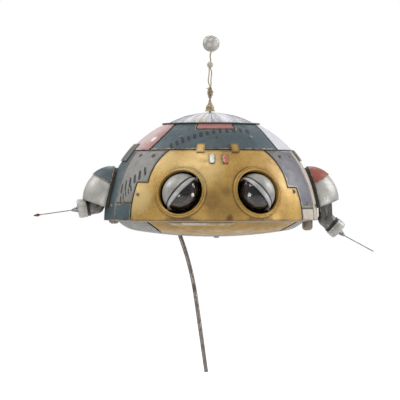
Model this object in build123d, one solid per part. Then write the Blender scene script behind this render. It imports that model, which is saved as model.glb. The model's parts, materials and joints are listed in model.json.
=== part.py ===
from build123d import *
import math
import os

# A flying-saucer robot model on a support rod.  Millimetres, +Z up, face towards -Y.
# The model is drawn about the centre of the saucer's ball shape, and every piece is
# moved at the end, so that the cut end of the support rod is the origin.

# ---------------------------------------------------------------- driving dimensions
# Saucer body
DOME_R = 85.5            # outside radius of the ball-shaped skin
SKIN_T = 1.8             # skin panel thickness
GLUE_GAP = 0.15          # glue line between a skin panel and the liner
LINER_T = 2.0            # liner wall
SEAM = 0.7               # open seam between neighbouring panels
SKIN_BOTTOM_Z = 0.3      # lower edge of the skin
RIM_TOP_Z = 3.0          # top face of the chassis ring
BROW_EL = 40.39          # elevation of the seam that runs round under the top panels

# Cap
FLANGE_R = 39.2
FLANGE_T = 0.8
FLANGE_OVERHANG = 1.6    # flange past the cut edge of the skin
FLANGE_BRIM = 5.2        # flange showing round the cap
FLANGE_LAND = 14.0       # flange under the cap
CAP_RISE = 8.8
CAP_T = 1.4

# Face plate outline, by azimuth and height
FACE_TOP_AZ = 34.3
FACE_SHOULDER_AZ = 41.3
FACE_SHOULDER_Z = 41.4
FACE_STEP_AZ = 42.3
FACE_STEP_OUT_AZ = 50.3
FACE_SIDE_AZ = 51.5
FACE_SIDE_Z = 13.0
FACE_FOOT_AZ = 52.1
LEFT_STEP_Z = 30.2
RIGHT_STEP_Z = 26.2

# Patchwork seams, by azimuth and height
TOP_LEFT_AZ = (52.0, 52.6)      # at the cap and at the brow seam
TOP_RIGHT_AZ = (62.0, 48.8)
PATCH_AZ = (20.8, 19.2)         # top and foot of the small patch
PATCH_DEPTH = 4.9
LEFT_CHEEK_FOOT_Z = 14.0
RIGHT_CHEEK_FOOT_Z = 10.0
SIDE_AZ = 67.0           # side seam
BACK_AZ = 113.0          # seam between side and rear panels
REAR_AZ = 148.0          # seams of the middle rear panel

# Eyes
EYE_AZ = 21.5
EYE_ABOVE_RIM = 2.6      # bezel above the saucer's level rim
EYE_SET_IN = 6.5         # eyeball centre below the skin
BALL_R = 14.6
LENS_T = 1.3
LENS_SEAT = 1.3          # lens seat plane in front of the eyeball centre
LID_GAP = 0.3
LID_T = 0.8
LID_BAND_T = 0.45
LID_BAND_DEG = 15.0
LID_SPAN_DEG = 150.0
LID_REST_DEG = -15.0     # free edge, past the eye's centre towards closed
LID_AXIS_DEG = 50.0      # hinge line above horizontal, seen along the eye
LID_EAR_R = 3.2
LID_PIN_R = 1.0
LID_PIN_CLEAR = 0.05
LID_PIN_IN_BALL = 2.2
BEZEL_BORE_CLEAR = 1.05  # round the lid's band
BEZEL_W = 3.05
BEZEL_PROUD = 2.3        # above the skin at its outer edge
BEZEL_CHAMFER = 0.9
BEZEL_HOLE_CLEAR = 0.2
CUP_T = 1.4
CUP_CLEAR = 0.4          # cup bore past the bezel bore
CUP_LAND = 1.0           # cup in front of the hinge pins
CUP_BACK_CLEAR = 0.5     # behind the open lid

# Small face fittings
TAB_AZ = 11.8
TAB_W = 6.4
TAB_T = 1.0
TAB_BELOW_BROW = 1.8
TAB_ABOVE_BROW = 4.8
LAMP_AZ = 4.1
LAMP_W = 3.6
LAMP_H = 7.6
LAMP_BELOW_BROW = 7.6
LAMP_PROUD = 1.2
LAMP_CLEAR = 0.1
SURFACE_GAP = 0.1        # under what is fixed on top of the skin

# Panel screws
SCREW_HEAD_R = 1.5
SCREW_HEAD_H = 0.6
SCREW_SHANK_R = 0.6
SCREW_SHANK_L = 3.4
SCREW_CLEAR = 0.08
FRONT_SCREWS = [          # azimuth and elevation of each
    (-45.5, 36.5), (46.5, 36.0), (-58.5, 37.0), (59.5, 36.0),
    (-59.0, 10.0), (59.0, 9.0), (-47.8, 14.0), (47.0, 15.6),
]
SCREW_ROWS_EL = (8.0, 34.0, 50.0)
REAR_SCREWS_AZ = (120, 141, 155, 180, 205, 219, 240)
TOP_SCREWS_AZ = (-30, 0, 30, 120, 160, 200, 240)
SCREW_OFF_POD = 5.6      # side screws out from the pod's flank
CATCH_R = 2.2
CATCH_H = 0.9
CATCH_AT = (3.6, -9.0)

# Latches on the shoulders
LATCH_T = 1.3
LATCH_AZ = (73.0, 87.0)
LATCH_BELOW_BROW = 7.9
LEFT_LATCH_ABOVE_BROW = 5.6
RIGHT_LATCH_ABOVE_BROW = 0.6

# Chassis and belly
RING_GAP = 0.3           # ring inside the skin
RING_W = 13.4
RING_LIP_W = 4.6         # flat under the ring that the belly seats on
RING_LIP_Z = -0.9
RING_EDGE_Z = 1.2
PLATE_EDGE = 5.4         # plate inside the ring's edge
PLATE_T = 2.0
BELLY_EDGE = 0.8         # belly rim inside the lip's edge
BELLY_KNEE_W = 13.8      # steep part of the belly, in from its rim
BELLY_KNEE_Z = -7.9
BELLY_BOTTOM_Z = -12.8
BELLY_T = 1.6
BELLY_SEAM = 0.9
BELLY_FRONT_Y = 30.0     # the front piece ends this far in front of the axis
BELLY_FRONT_X = ((-56.5, 68.0), (-33.0, 38.0))   # at its rim and at its foot
STRIP_X = ((-38.0, 12.0), (-36.0, 10.0))
STRIP_Z = (-1.3, -3.3)
STRIP_T = 0.6

# Support rod, from its cut end upwards
ROD_R = 1.6
ROD_END = (-3.8, -121.1)     # x and z of the cut end
ROD_TILT = 8.0
ROD_STRAIGHT = 59.7
ROD_BEND_R = 234.0
ROD_TOP_TILT = 20.5
ROD_IN_SOCKET = 24.0
ROD_CLEAR = 0.05
ROD_HOLE_CLEAR = 0.4         # in the belly pan
SOCKET_R = 5.0
SOCKET_CLEAR = 0.2           # in the plate
SOCKET_FLANGE_R = 9.0
SOCKET_FLANGE_T = 2.0
SOCKET_BELOW = 8.0           # socket length below the plate's top, along the rod
SOCKET_ABOVE = 12.0
SET_SCREW_R = 1.2
SET_SCREW_PROUD = 1.5

# Antenna, each height from the piece below it
MAST_R = 0.8
MAST_X = -0.8
MAST_IN_CAP = 3.9
NUT_R = 2.6
NUT_H = 2.0
BELL_GAP = 1.0
BELL_H = 7.4
BELL_R = (3.4, 1.1)
BELL_FOOT_R = 4.1
BELL_FOOT_H = 1.0
WRAP_GAP = 2.2
WRAP_H = 8.8
WRAP_R = 1.7
WRAP_CROSS_R = 0.8
WRAP_CROSS_DEG = (35, 145)
WIRE_R = 0.45
WIRE_SPREAD = 1.2
BEAD_R = 2.6
BEAD_UP = 17.8
TIP_WIRE_R = 0.55
BALL_TIP_R = 7.0
BALL_TIP_UP = 17.0
BALL_TIP_X = 0.8

# Pods on the sides
POD_EL = 19.5
POD_SET_IN = 2.4             # base plane below the skin
POD_DROP = 9.6               # ellipsoid centre below the base centre
POD_LONG_R = 24.3
POD_WIDE_R = 20.8
POD_T = 1.6
POD_FLOOR = 8.8              # open lower edge below the ellipsoid centre
GASKET_T = 2.6
GASKET_WALL = 3.6
GASKET_GAP = 0.05
POD_TOP_T = 0.8
POD_TOP_OUT = 7.7            # a point of the coloured top's lower edge,
POD_TOP_UP = 10.85           # from the ellipsoid centre
POD_TOP_DEG = 30.0

# Needle guns under the pods
LEFT_PIVOT_Z = 11.7
RIGHT_PIVOT_Z = 1.2
PIVOT_CLEAR = 0.7            # between the barrel's round tail and the skin
LEFT_GUN_DEG = 10.0          # below horizontal at rest
RIGHT_GUN_DEG = 42.0
LEFT_GUN_LIFT = 4.0          # how far the gun tilts up before its cap meets the hood
RIGHT_GUN_LIFT = 30.0
LEFT_NEEDLE_BEND = 2.0
RIGHT_NEEDLE_BEND = 13.7
BARREL_R = 6.2
BARREL_L = 8.0
COLLAR_R = 6.9
COLLAR_L = 1.6
GUNCAP_R = 7.4
GUNCAP_L = 7.0
GUNCAP_CHAMFER = 1.4
GUN_ROOM = 0.5               # notch in the hood's lower edge round the gun's cap
HUB_L = 5.2
HUB_R = 2.6
HUB_TIP_R = 0.8
NEEDLE_R = 0.4
NEEDLE_IN_HUB = 0.6
LEFT_NEEDLE_L = 31.1
RIGHT_NEEDLE_L = 27.4
DART_L = 5.6
DART_R = 1.3
GUN_PIN_R = 1.5
GUN_PIN_CLEAR = 0.05
GUN_PIN_END = 0.5
EAR_GAP = 0.4
EAR_T = 1.6
EAR_R = 4.6
EAR_LEAN = 1.0
WEB_GAP = 1.6                # bracket web above the barrel
WEB_H = 8.0
WEB_T = 5.4

# Feet
FOOT_R = 4.2
FOOT_IN = 5.8                # from the ring's edge
FOOT_CLEAR = 0.1
LEFT_FOOT_Z = -2.5
RIGHT_FOOT_Z = -8.0

FAR = 140.0                  # beyond every outline, for cutting tools
SLIVER = 0.01

SKIN_IN_R = DOME_R - SKIN_T
LINER_R = SKIN_IN_R - GLUE_GAP
CAP_SEAT_Z = math.sqrt(DOME_R ** 2 - (FLANGE_R - FLANGE_OVERHANG) ** 2)
CAP_R = FLANGE_R - FLANGE_BRIM

BROW_Z = DOME_R * math.sin(math.radians(BROW_EL))

LID_IN_R = BALL_R + LID_GAP
LID_OUT_R = LID_IN_R + LID_T
BEZEL_BORE_R = LID_OUT_R + LID_BAND_T + BEZEL_BORE_CLEAR
BEZEL_R = BEZEL_BORE_R + BEZEL_W
CUP_BORE_R = BEZEL_BORE_R + CUP_CLEAR
CUP_R = CUP_BORE_R + CUP_T + BEZEL_CHAMFER - 0.1
EYE_CENTRE_D = DOME_R - EYE_SET_IN
EYE_EL = math.degrees(math.asin((BEZEL_R + EYE_ABOVE_RIM) / DOME_R))
BEZEL_FRONT_D = math.sqrt(DOME_R ** 2 - BEZEL_R ** 2) + BEZEL_PROUD
BEZEL_BACK_D = EYE_CENTRE_D + LID_PIN_R + CUP_LAND
CUP_BACK_D = EYE_CENTRE_D - LID_OUT_R - LID_BAND_T - CUP_BACK_CLEAR - CUP_T
LID_PIN_INNER = BALL_R - LID_PIN_IN_BALL
LID_PIN_OUTER = CUP_R - 0.6

RING_R = SKIN_IN_R - RING_GAP
RING_BORE_R = RING_R - RING_W
RING_LIP_R = RING_BORE_R + RING_LIP_W
PLATE_R = RING_R - PLATE_EDGE
PLATE_TOP_Z = RIM_TOP_Z + PLATE_T
BELLY_R = RING_LIP_R - BELLY_EDGE
BELLY_KNEE_R = BELLY_R - BELLY_KNEE_W
FOOT_AT = RING_R - FOOT_IN

CAP_FOOT_Z = CAP_SEAT_Z + FLANGE_T
CAP_TOP_Z = CAP_FOOT_Z + CAP_RISE
BELL_Z = CAP_TOP_Z + BELL_GAP + BELL_FOOT_H
WRAP_Z = BELL_Z + BELL_H + WRAP_GAP
BEAD_Z = WRAP_Z + WRAP_H + BEAD_UP
BALL_TIP_Z = BEAD_Z + BALL_TIP_UP

POD_BASE_D = DOME_R - POD_SET_IN
GASKET_R = DOME_R + SURFACE_GAP + GASKET_T
SHIFT = Vector(-ROD_END[0], 0, -ROD_END[1])
parts = {}


def sind(a):
    return math.sin(math.radians(a))


def cosd(a):
    return math.cos(math.radians(a))


def slab(z_low, z_high):
    return Pos(0, 0, (z_low + z_high) / 2) * Box(2 * FAR, 2 * FAR, z_high - z_low)


def ball_shell(r_out, r_in, z_low, z_high):
    return (Sphere(r_out) - Sphere(r_in)) & slab(z_low, z_high)


def radial(az, el):
    """Unit vector from the saucer centre; azimuth 0 is the face, + towards +X."""
    return Vector(sind(az) * cosd(el), -cosd(az) * cosd(el), sind(el))


def radial_plane(az, el, distance):
    """A plane on the ball, z outwards and x level."""
    out = radial(az, el)
    return Plane(origin=out * distance, x_dir=(cosd(az), sind(az), 0), z_dir=out)


def wedge(az_from, az_to, inset):
    """Upright wedge between two azimuths, each side pulled in by inset."""
    middle = (az_from + az_to) / 2
    half = (az_to - az_from) / 2
    apex = radial(middle, 0) * (inset / sind(half))
    steps = [az_from, (az_from + middle) / 2, middle, (middle + az_to) / 2, az_to]
    corners = [apex] + [apex + radial(a, 0) * 2 * FAR for a in steps]
    outline = Polyline([(c.X, c.Y) for c in corners], close=True)
    return Pos(0, 0, -FAR) * extrude(make_face(outline), amount=2 * FAR)


def front_prism(face):
    """Carries an outline drawn in front view forwards through the skin."""
    return extrude(Plane.XZ * face, amount=FAR)


def grown(face, amount):
    return offset(face, amount, kind=Kind.INTERSECTION)


def front_polygon(points):
    return make_face(Polyline(points, close=True))


# ---------------------------------------------------------------- outlines in front view
def front_point(side, az, z):
    """Where a point of the skin shows in front view."""
    return (side * math.sqrt(DOME_R ** 2 - z ** 2) * sind(az), z)


def face_side(side, step_z):
    """One side of the face plate, from its top corner down to its foot."""
    top = front_point(side, FACE_TOP_AZ, BROW_Z)
    shoulder = front_point(side, FACE_SHOULDER_AZ, FACE_SHOULDER_Z)
    step = front_point(side, FACE_STEP_AZ, step_z)
    step_out = front_point(side, FACE_STEP_OUT_AZ, step_z)
    flank = front_point(side, FACE_SIDE_AZ, FACE_SIDE_Z)
    foot = front_point(side, FACE_FOOT_AZ, -1)
    edges = [ThreePointArc(top, shoulder, step), Line(step, step_out), ThreePointArc(step_out, flank, foot)]
    return edges, top, foot


def face_outline():
    right, right_top, right_foot = face_side(1, RIGHT_STEP_Z)
    left, left_top, left_foot = face_side(-1, LEFT_STEP_Z)
    return make_face(Wire(right + left + [Line(right_foot, left_foot), Line(left_top, right_top)]))


face_shape = face_outline()
top_corners = [
    front_point(-1, TOP_LEFT_AZ[0], CAP_SEAT_Z),
    front_point(1, TOP_RIGHT_AZ[0], CAP_SEAT_Z),
    front_point(1, TOP_RIGHT_AZ[1], BROW_Z),
    front_point(-1, TOP_LEFT_AZ[1], BROW_Z),
]
patch_corners = [
    front_point(-1, PATCH_AZ[0], CAP_SEAT_Z),
    front_point(1, PATCH_AZ[0], CAP_SEAT_Z),
    front_point(1, PATCH_AZ[1], CAP_SEAT_Z - PATCH_DEPTH),
    front_point(-1, PATCH_AZ[1], CAP_SEAT_Z - PATCH_DEPTH),
]


def open_topped(corners):
    """An outline whose two upper corners run on up past the cut under the cap."""
    upper_left, upper_right, lower_right, lower_left = corners
    raised = []
    for high, low in ((upper_left, lower_left), (upper_right, lower_right)):
        slope = (high[0] - low[0]) / (high[1] - low[1])
        raised.append((high[0] + slope * SEAM * 3, high[1] + SEAM * 3))
    return front_polygon([raised[0], raised[1], lower_right, lower_left])


top_shape = open_topped(top_corners)
patch_shape = open_topped(patch_corners)
half = SEAM / 2

# ---------------------------------------------------------------- skin and liner blanks
upper = ball_shell(DOME_R, SKIN_IN_R, BROW_Z + half, CAP_SEAT_Z)
lower = ball_shell(DOME_R, SKIN_IN_R, SKIN_BOTTOM_Z, BROW_Z - half)
liner = ball_shell(LINER_R, LINER_R - LINER_T, RIM_TOP_Z + GLUE_GAP, CAP_SEAT_Z)

eye_planes = {}
eye_tunnel = None
for side, s in (("left", -1), ("right", 1)):
    eye_planes[side] = radial_plane(s * EYE_AZ, EYE_EL, EYE_CENTRE_D)
    hole = eye_planes[side] * Cylinder(BEZEL_R + BEZEL_HOLE_CLEAR, 2 * BEZEL_R)
    eye_tunnel = hole if eye_tunnel is None else eye_tunnel + hole

lamp_planes = {}
lamp_holes = None
lamp_el = math.degrees(math.asin((BROW_Z - LAMP_BELOW_BROW) / DOME_R))
for side, s in (("left", -1), ("right", 1)):
    lamp_planes[side] = radial_plane(s * LAMP_AZ, lamp_el, DOME_R)
    hole = lamp_planes[side] * Box(LAMP_W + 2 * LAMP_CLEAR, LAMP_H + 2 * LAMP_CLEAR, 2 * SKIN_T + 1)
    lamp_holes = hole if lamp_holes is None else lamp_holes + hole

face_prism = front_prism(grown(face_shape, -half))
face_room = front_prism(grown(face_shape, half))
top_prism = front_prism(grown(top_shape, -half))
top_room = front_prism(grown(top_shape, half))
patch_prism = front_prism(grown(patch_shape, -half))
patch_room = front_prism(grown(patch_shape, half))

# ---------------------------------------------------------------- skin panels
parts["face_plate"] = (lower & face_prism) - eye_tunnel - lamp_holes
parts["front_top_panel"] = (upper & top_prism) - patch_room
parts["top_red_panel"] = upper & patch_prism
for side, s, foot_z in (("left", -1, LEFT_CHEEK_FOOT_Z), ("right", 1, RIGHT_CHEEK_FOOT_Z)):
    edge = [s * SIDE_AZ, 0] if s < 0 else [0, s * SIDE_AZ]
    front = wedge(edge[0], edge[1], half)
    cheek_zone = slab(foot_z + half, BROW_Z)
    foot_zone = slab(-FAR, foot_z - half)
    parts[f"{side}_cheek_panel"] = (lower & front & cheek_zone) - face_room
    parts[f"{side}_lower_panel"] = (lower & front & foot_zone) - face_room
    shoulder = [-BACK_AZ, 0] if s < 0 else [0, BACK_AZ]
    parts[f"{side}_top_panel"] = (upper & wedge(shoulder[0], shoulder[1], half)) - top_room
    flank = sorted([s * SIDE_AZ, s * BACK_AZ])
    parts[f"{side}_side_panel"] = lower & wedge(flank[0], flank[1], half)
    quarter = sorted([s * BACK_AZ, s * REAR_AZ])
    parts[f"rear_{side}_panel"] = lower & wedge(quarter[0], quarter[1], half)
parts["rear_centre_panel"] = lower & wedge(REAR_AZ, 360 - REAR_AZ, half)
parts["rear_top_panel"] = upper & wedge(BACK_AZ, 360 - BACK_AZ, half)

# ---------------------------------------------------------------- chassis ring, plate and feet
ring_outline = [
    (RING_BORE_R, RIM_TOP_Z),
    (RING_R, RIM_TOP_Z),
    (RING_R, RING_EDGE_Z),
    (RING_LIP_R, RING_LIP_Z),
    (RING_BORE_R, RING_LIP_Z),
]
ring = revolve(Plane.XZ * make_face(Polyline(ring_outline, close=True)), Axis.Z)
plate = Pos(0, 0, RIM_TOP_Z + PLATE_T / 2) * Cylinder(PLATE_R, PLATE_T)

cup_room = None
for side in ("left", "right"):
    back = CUP_BACK_D - EYE_CENTRE_D - BEZEL_HOLE_CLEAR
    length = BEZEL_FRONT_D - EYE_CENTRE_D - back
    room = eye_planes[side] * Pos(0, 0, back + length / 2) * Cylinder(BEZEL_R + BEZEL_HOLE_CLEAR, length)
    cup_room = room if cup_room is None else cup_room + room
liner = liner - eye_tunnel
ring = ring - cup_room
plate = plate - cup_room

feet = []
for s, low in ((-1, LEFT_FOOT_Z), (1, RIGHT_FOOT_Z)):
    length = RIM_TOP_Z - low
    foot = Cylinder(FOOT_R, length)
    foot = fillet(foot.edges().sort_by(Axis.Z)[0], min(FOOT_R, length) * 0.7)
    feet.append(Pos(s * FOOT_AT, 0, low + length / 2) * foot)
foot_room = Pos(FOOT_AT, 0, 0) * Cylinder(FOOT_R + FOOT_CLEAR, 20)
foot_room += Pos(-FOOT_AT, 0, 0) * Cylinder(FOOT_R + FOOT_CLEAR, 20)
ring -= foot_room
parts["foot_stubs"] = Compound(children=feet)

# ---------------------------------------------------------------- support rod and its socket
rod_end = Vector(ROD_END[0], 0, ROD_END[1])
rod_up = Vector(-sind(ROD_TILT), 0, cosd(ROD_TILT))
bend_start = rod_end + rod_up * ROD_STRAIGHT
bend_centre = bend_start - Vector(cosd(ROD_TILT), 0, sind(ROD_TILT)) * ROD_BEND_R
mid_tilt = (ROD_TILT + ROD_TOP_TILT) / 2
bend_mid = bend_centre + Vector(cosd(mid_tilt), 0, sind(mid_tilt)) * ROD_BEND_R
bend_end = bend_centre + Vector(cosd(ROD_TOP_TILT), 0, sind(ROD_TOP_TILT)) * ROD_BEND_R
top_up = Vector(-sind(ROD_TOP_TILT), 0, cosd(ROD_TOP_TILT))
rod_top = bend_end + top_up * ROD_IN_SOCKET
rod_bend = ThreePointArc(bend_start, bend_mid, bend_end)
rod_path = Wire([Line(rod_end, bend_start), rod_bend, Line(bend_end, rod_top)])
rod_section = Plane(origin=rod_end, z_dir=rod_up) * Circle(ROD_R)
parts["support_rod"] = sweep(rod_section, path=rod_path)

plate_hit = bend_end + top_up * ((PLATE_TOP_Z - bend_end.Z) / top_up.Z)
socket_plane = Plane(origin=plate_hit, x_dir=(0, 1, 0), z_dir=top_up)
socket_length = SOCKET_ABOVE + SOCKET_BELOW
socket = socket_plane * Pos(0, 0, (SOCKET_ABOVE - SOCKET_BELOW) / 2) * Cylinder(SOCKET_R, socket_length)
socket_room = socket_plane * Cylinder(SOCKET_R + SOCKET_CLEAR, 6 * PLATE_T)
plate -= socket_room
flange_at = Pos(plate_hit.X, plate_hit.Y, PLATE_TOP_Z + SOCKET_FLANGE_T / 2)
socket += flange_at * Cylinder(SOCKET_FLANGE_R, SOCKET_FLANGE_T)
socket -= socket_plane * Cylinder(ROD_R + ROD_CLEAR, 4 * socket_length)
grip_z = (SOCKET_ABOVE + SOCKET_FLANGE_T) / 2
set_screw_length = SOCKET_R - ROD_R - ROD_CLEAR + SET_SCREW_PROUD
set_screw_mid = ROD_R + ROD_CLEAR + set_screw_length / 2
grub = socket_plane * Pos(-set_screw_mid, 0, grip_z) * Rot(0, 90, 0) * Cylinder(SET_SCREW_R, set_screw_length)
grub_hole = Rot(0, 90, 0) * Cylinder(SET_SCREW_R + ROD_CLEAR, 2 * SOCKET_R)
socket -= socket_plane * Pos(-SOCKET_R - SLIVER, 0, grip_z) * grub_hole
parts["rod_socket"] = socket
parts["rod_set_screw"] = grub

# ---------------------------------------------------------------- belly
def belly_solid(grow):
    """Solid bowl whose outside stands off the belly's outside by grow."""
    sag = BELLY_KNEE_Z - BELLY_BOTTOM_Z
    bowl_r = (BELLY_KNEE_R ** 2 + sag ** 2) / (2 * sag)
    knee_tan = BELLY_KNEE_R / (bowl_r - sag)
    bottom = (0, BELLY_BOTTOM_Z - grow)
    tilt = math.atan(knee_tan)
    knee = (BELLY_KNEE_R + grow * math.sin(tilt), BELLY_KNEE_Z - grow * math.cos(tilt))
    floor_arc = TangentArc(bottom, knee, tangent=(1, 0))
    rim = (BELLY_R + grow, RING_LIP_Z)
    side_arc = TangentArc(knee, rim, tangent=(1, knee_tan))
    outline = Wire([floor_arc, side_arc, Line(rim, (0, RING_LIP_Z)), Line((0, RING_LIP_Z), bottom)])
    return revolve(Plane.XZ * make_face(outline), Axis.Z)


bowl = belly_solid(0)
bowl_shell = bowl - belly_solid(-BELLY_T)
rod_room = socket_plane * Cylinder(ROD_R + ROD_HOLE_CLEAR, 4 * socket_length)
rim_x, foot_x = BELLY_FRONT_X
below = BELLY_BOTTOM_Z - BELLY_T - 1
front_belly = front_polygon([(rim_x[0], 1), (rim_x[1], 1), (foot_x[1], below), (foot_x[0], below)])
front_half = Pos(0, -FAR / 2 - BELLY_FRONT_Y, 0) * Box(2 * FAR, FAR, 2 * FAR)
front_piece = bowl_shell & front_prism(grown(front_belly, -BELLY_SEAM / 2)) & front_half
parts["belly_front"] = front_piece - cup_room
back_room = front_prism(grown(front_belly, BELLY_SEAM / 2)) & (Pos(0, BELLY_SEAM, 0) * front_half)
parts["belly_pan"] = bowl_shell - back_room - rod_room - foot_room - cup_room
strip_top, strip_foot = STRIP_X
strip_corners = [(x, STRIP_Z[0]) for x in strip_top] + [(x, STRIP_Z[1]) for x in reversed(strip_foot)]
strip_zone = front_prism(front_polygon(strip_corners))
parts["belly_strip"] = (belly_solid(STRIP_T) - belly_solid(2 * SLIVER)) & strip_zone & front_half - cup_room

# ---------------------------------------------------------------- cap
parts["cap_flange"] = Pos(0, 0, CAP_SEAT_Z + FLANGE_T / 2) * (
    Cylinder(FLANGE_R, FLANGE_T) - Cylinder(CAP_R - FLANGE_LAND, FLANGE_T)
)


def cap_solid(radius, rise):
    sphere_r = (radius ** 2 + rise ** 2) / (2 * rise)
    dome = Pos(0, 0, CAP_FOOT_Z + rise - sphere_r) * Sphere(sphere_r)
    return dome & slab(CAP_FOOT_Z, CAP_FOOT_Z + rise + 1)


mast_hole = Pos(MAST_X, 0, CAP_TOP_Z) * Cylinder(MAST_R + ROD_CLEAR, 20)
parts["cap"] = cap_solid(CAP_R, CAP_RISE) - cap_solid(CAP_R - 2 * CAP_T, CAP_RISE - CAP_T) - mast_hole

# ---------------------------------------------------------------- antenna
def on_mast(z, shape):
    return Pos(MAST_X, 0, z) * shape


mast_foot = CAP_TOP_Z - MAST_IN_CAP
mast_length = WRAP_Z + WRAP_H - mast_foot
mast = on_mast(mast_foot + mast_length / 2, Cylinder(MAST_R, mast_length))
nut_z = CAP_TOP_Z - CAP_T - NUT_H / 2 - 0.5
parts["antenna_mast"] = mast + on_mast(nut_z, Cylinder(NUT_R, NUT_H))
mast_bore = on_mast(WRAP_Z, Cylinder(MAST_R + ROD_CLEAR, 6 * WRAP_H))
bell = on_mast(BELL_Z + BELL_H / 2, Cone(BELL_R[0], BELL_R[1], BELL_H))
bell += on_mast(BELL_Z - BELL_FOOT_H / 2, Cylinder(BELL_FOOT_R, BELL_FOOT_H))
parts["antenna_base"] = bell - mast_bore
wrap_mid = WRAP_Z + WRAP_H / 2
wrap = on_mast(wrap_mid, Cylinder(WRAP_R, WRAP_H))
for turn in WRAP_CROSS_DEG:
    wrap += on_mast(wrap_mid, Rot(0, turn, 0) * Cylinder(WRAP_CROSS_R, WRAP_H * 0.95))
parts["antenna_wrap"] = wrap - mast_bore
wire_foot = WRAP_Z + WRAP_H + 2 * SLIVER
wire_top = BEAD_Z - BEAD_R * 0.8
wire_length = wire_top - wire_foot
wires = []
for s in (-1, 1):
    wire_mid = Pos(MAST_X + s * WIRE_SPREAD, 0, wire_foot + wire_length / 2)
    wires.append(wire_mid * Cylinder(WIRE_R, wire_length))
parts["antenna_wires"] = Compound(children=wires)
tip_foot = BEAD_Z + BEAD_R * 0.5
tip_top = BALL_TIP_Z - BALL_TIP_R * 0.93
tip_length = tip_top - tip_foot
bead = on_mast(BEAD_Z, Sphere(BEAD_R))
for wire in wires:
    bead -= wire
parts["antenna_bead"] = bead - on_mast(tip_foot + BEAD_R, Cylinder(TIP_WIRE_R, 2 * BEAD_R))
tip = on_mast((tip_foot + tip_top) / 2, Cylinder(TIP_WIRE_R, tip_length))
parts["antenna_ball"] = (Pos(MAST_X + BALL_TIP_X, 0, BALL_TIP_Z) * Sphere(BALL_TIP_R)) + tip

# ---------------------------------------------------------------- eyes
def lid_wedge(s, deg_from, deg_to, width):
    """Wedge about the hinge line (local x); 0 is the eye's axis, + towards the lid's side."""
    steps = [deg_from + (deg_to - deg_from) * k / 4 for k in range(5)]
    corners = [(0, 0)] + [(-s * 40 * sind(a), 40 * cosd(a)) for a in steps]
    outline = Plane.YZ * make_face(Polyline(corners, close=True))
    return extrude(outline, amount=width, both=True)


def hinge_rod(radius, x_from, x_to):
    return Pos((x_from + x_to) / 2, 0, 0) * Rot(0, 90, 0) * Cylinder(radius, x_to - x_from)


bezels = []
cups = []
cells = []
eye_pins = []
for side, s in (("left", -1), ("right", 1)):
    eye = eye_planes[side]
    bezel_t = BEZEL_FRONT_D - BEZEL_BACK_D
    bezel_mid = (BEZEL_FRONT_D + BEZEL_BACK_D) / 2 - EYE_CENTRE_D
    bezel = Cylinder(BEZEL_R, bezel_t) - Cylinder(BEZEL_BORE_R, bezel_t)
    front_edges = bezel.edges().filter_by(GeomType.CIRCLE).group_by(Axis.Z)[-1]
    bezel = chamfer(front_edges, BEZEL_CHAMFER)
    bezels.append(eye * Pos(0, 0, bezel_mid) * bezel)

    cup_l = BEZEL_BACK_D - CUP_BACK_D
    cup_mid = (BEZEL_BACK_D + CUP_BACK_D) / 2 - EYE_CENTRE_D
    cup = Pos(0, 0, cup_mid) * Cylinder(CUP_R, cup_l)
    cup -= Pos(0, 0, cup_mid + CUP_T) * Cylinder(CUP_BORE_R, cup_l)
    hinge = Plane(
        origin=eye.origin,
        x_dir=eye.x_dir * (-s * cosd(LID_AXIS_DEG)) + eye.y_dir * sind(LID_AXIS_DEG),
        z_dir=eye.z_dir,
    )
    pins = [
        hinge_rod(LID_PIN_R, LID_PIN_INNER, LID_PIN_OUTER),
        hinge_rod(LID_PIN_R, -LID_PIN_OUTER, -LID_PIN_INNER),
    ]
    cup_here = hinge * cup
    seat = Sphere(BALL_R) & (Pos(0, 0, LENS_SEAT - FAR / 2) * Box(FAR, FAR, FAR))
    for pin in pins:
        eye_pins.append(hinge * pin)
        cup_here -= hinge * pin
        seat -= pin
    cups.append(cup_here)
    cells.append(hinge * seat)
    lens = (Sphere(BALL_R) - Sphere(BALL_R - LENS_T)) & (Pos(0, 0, LENS_SEAT + FAR / 2) * Box(FAR, FAR, FAR))
    parts[f"{side}_eye_lens"] = hinge * lens

    sector = lid_wedge(s, LID_REST_DEG, LID_REST_DEG + LID_SPAN_DEG, 30)
    ears = hinge_rod(LID_EAR_R, -30, 30)
    lid = (Sphere(LID_OUT_R) - Sphere(LID_IN_R)) & (sector + ears)
    band_sector = lid_wedge(s, LID_REST_DEG, LID_REST_DEG + LID_BAND_DEG, 30)
    lid += (Sphere(LID_OUT_R + LID_BAND_T) - Sphere(LID_OUT_R - 0.1)) & band_sector
    lid -= hinge_rod(LID_PIN_R + LID_PIN_CLEAR, -30, 30)
    parts[f"{side}_eyelid"] = hinge * lid
parts["eye_bezels"] = Compound(children=bezels)
parts["eye_cups"] = Compound(children=cups)
parts["eye_cells"] = Compound(children=cells)
parts["eye_pins"] = Compound(children=eye_pins)

# ---------------------------------------------------------------- face fittings
tabs = []
for s in (-1, 1):
    patch = Sphere(DOME_R + SURFACE_GAP + TAB_T) - Sphere(DOME_R + SURFACE_GAP)
    across = radial_plane(s * TAB_AZ, 40, DOME_R) * Box(TAB_W, 40, 40)
    tabs.append(patch & slab(BROW_Z - TAB_BELOW_BROW, BROW_Z + TAB_ABOVE_BROW) & across)
parts["face_tabs"] = Compound(children=tabs)
for side in ("left", "right"):
    body = Box(LAMP_W, LAMP_H, SKIN_T + LAMP_PROUD)
    body = fillet(body.edges().filter_by(Axis.Z), LAMP_W * 0.45)
    parts[f"{side}_indicator"] = lamp_planes[side] * Pos(0, 0, (LAMP_PROUD - SKIN_T) / 2) * body

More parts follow.
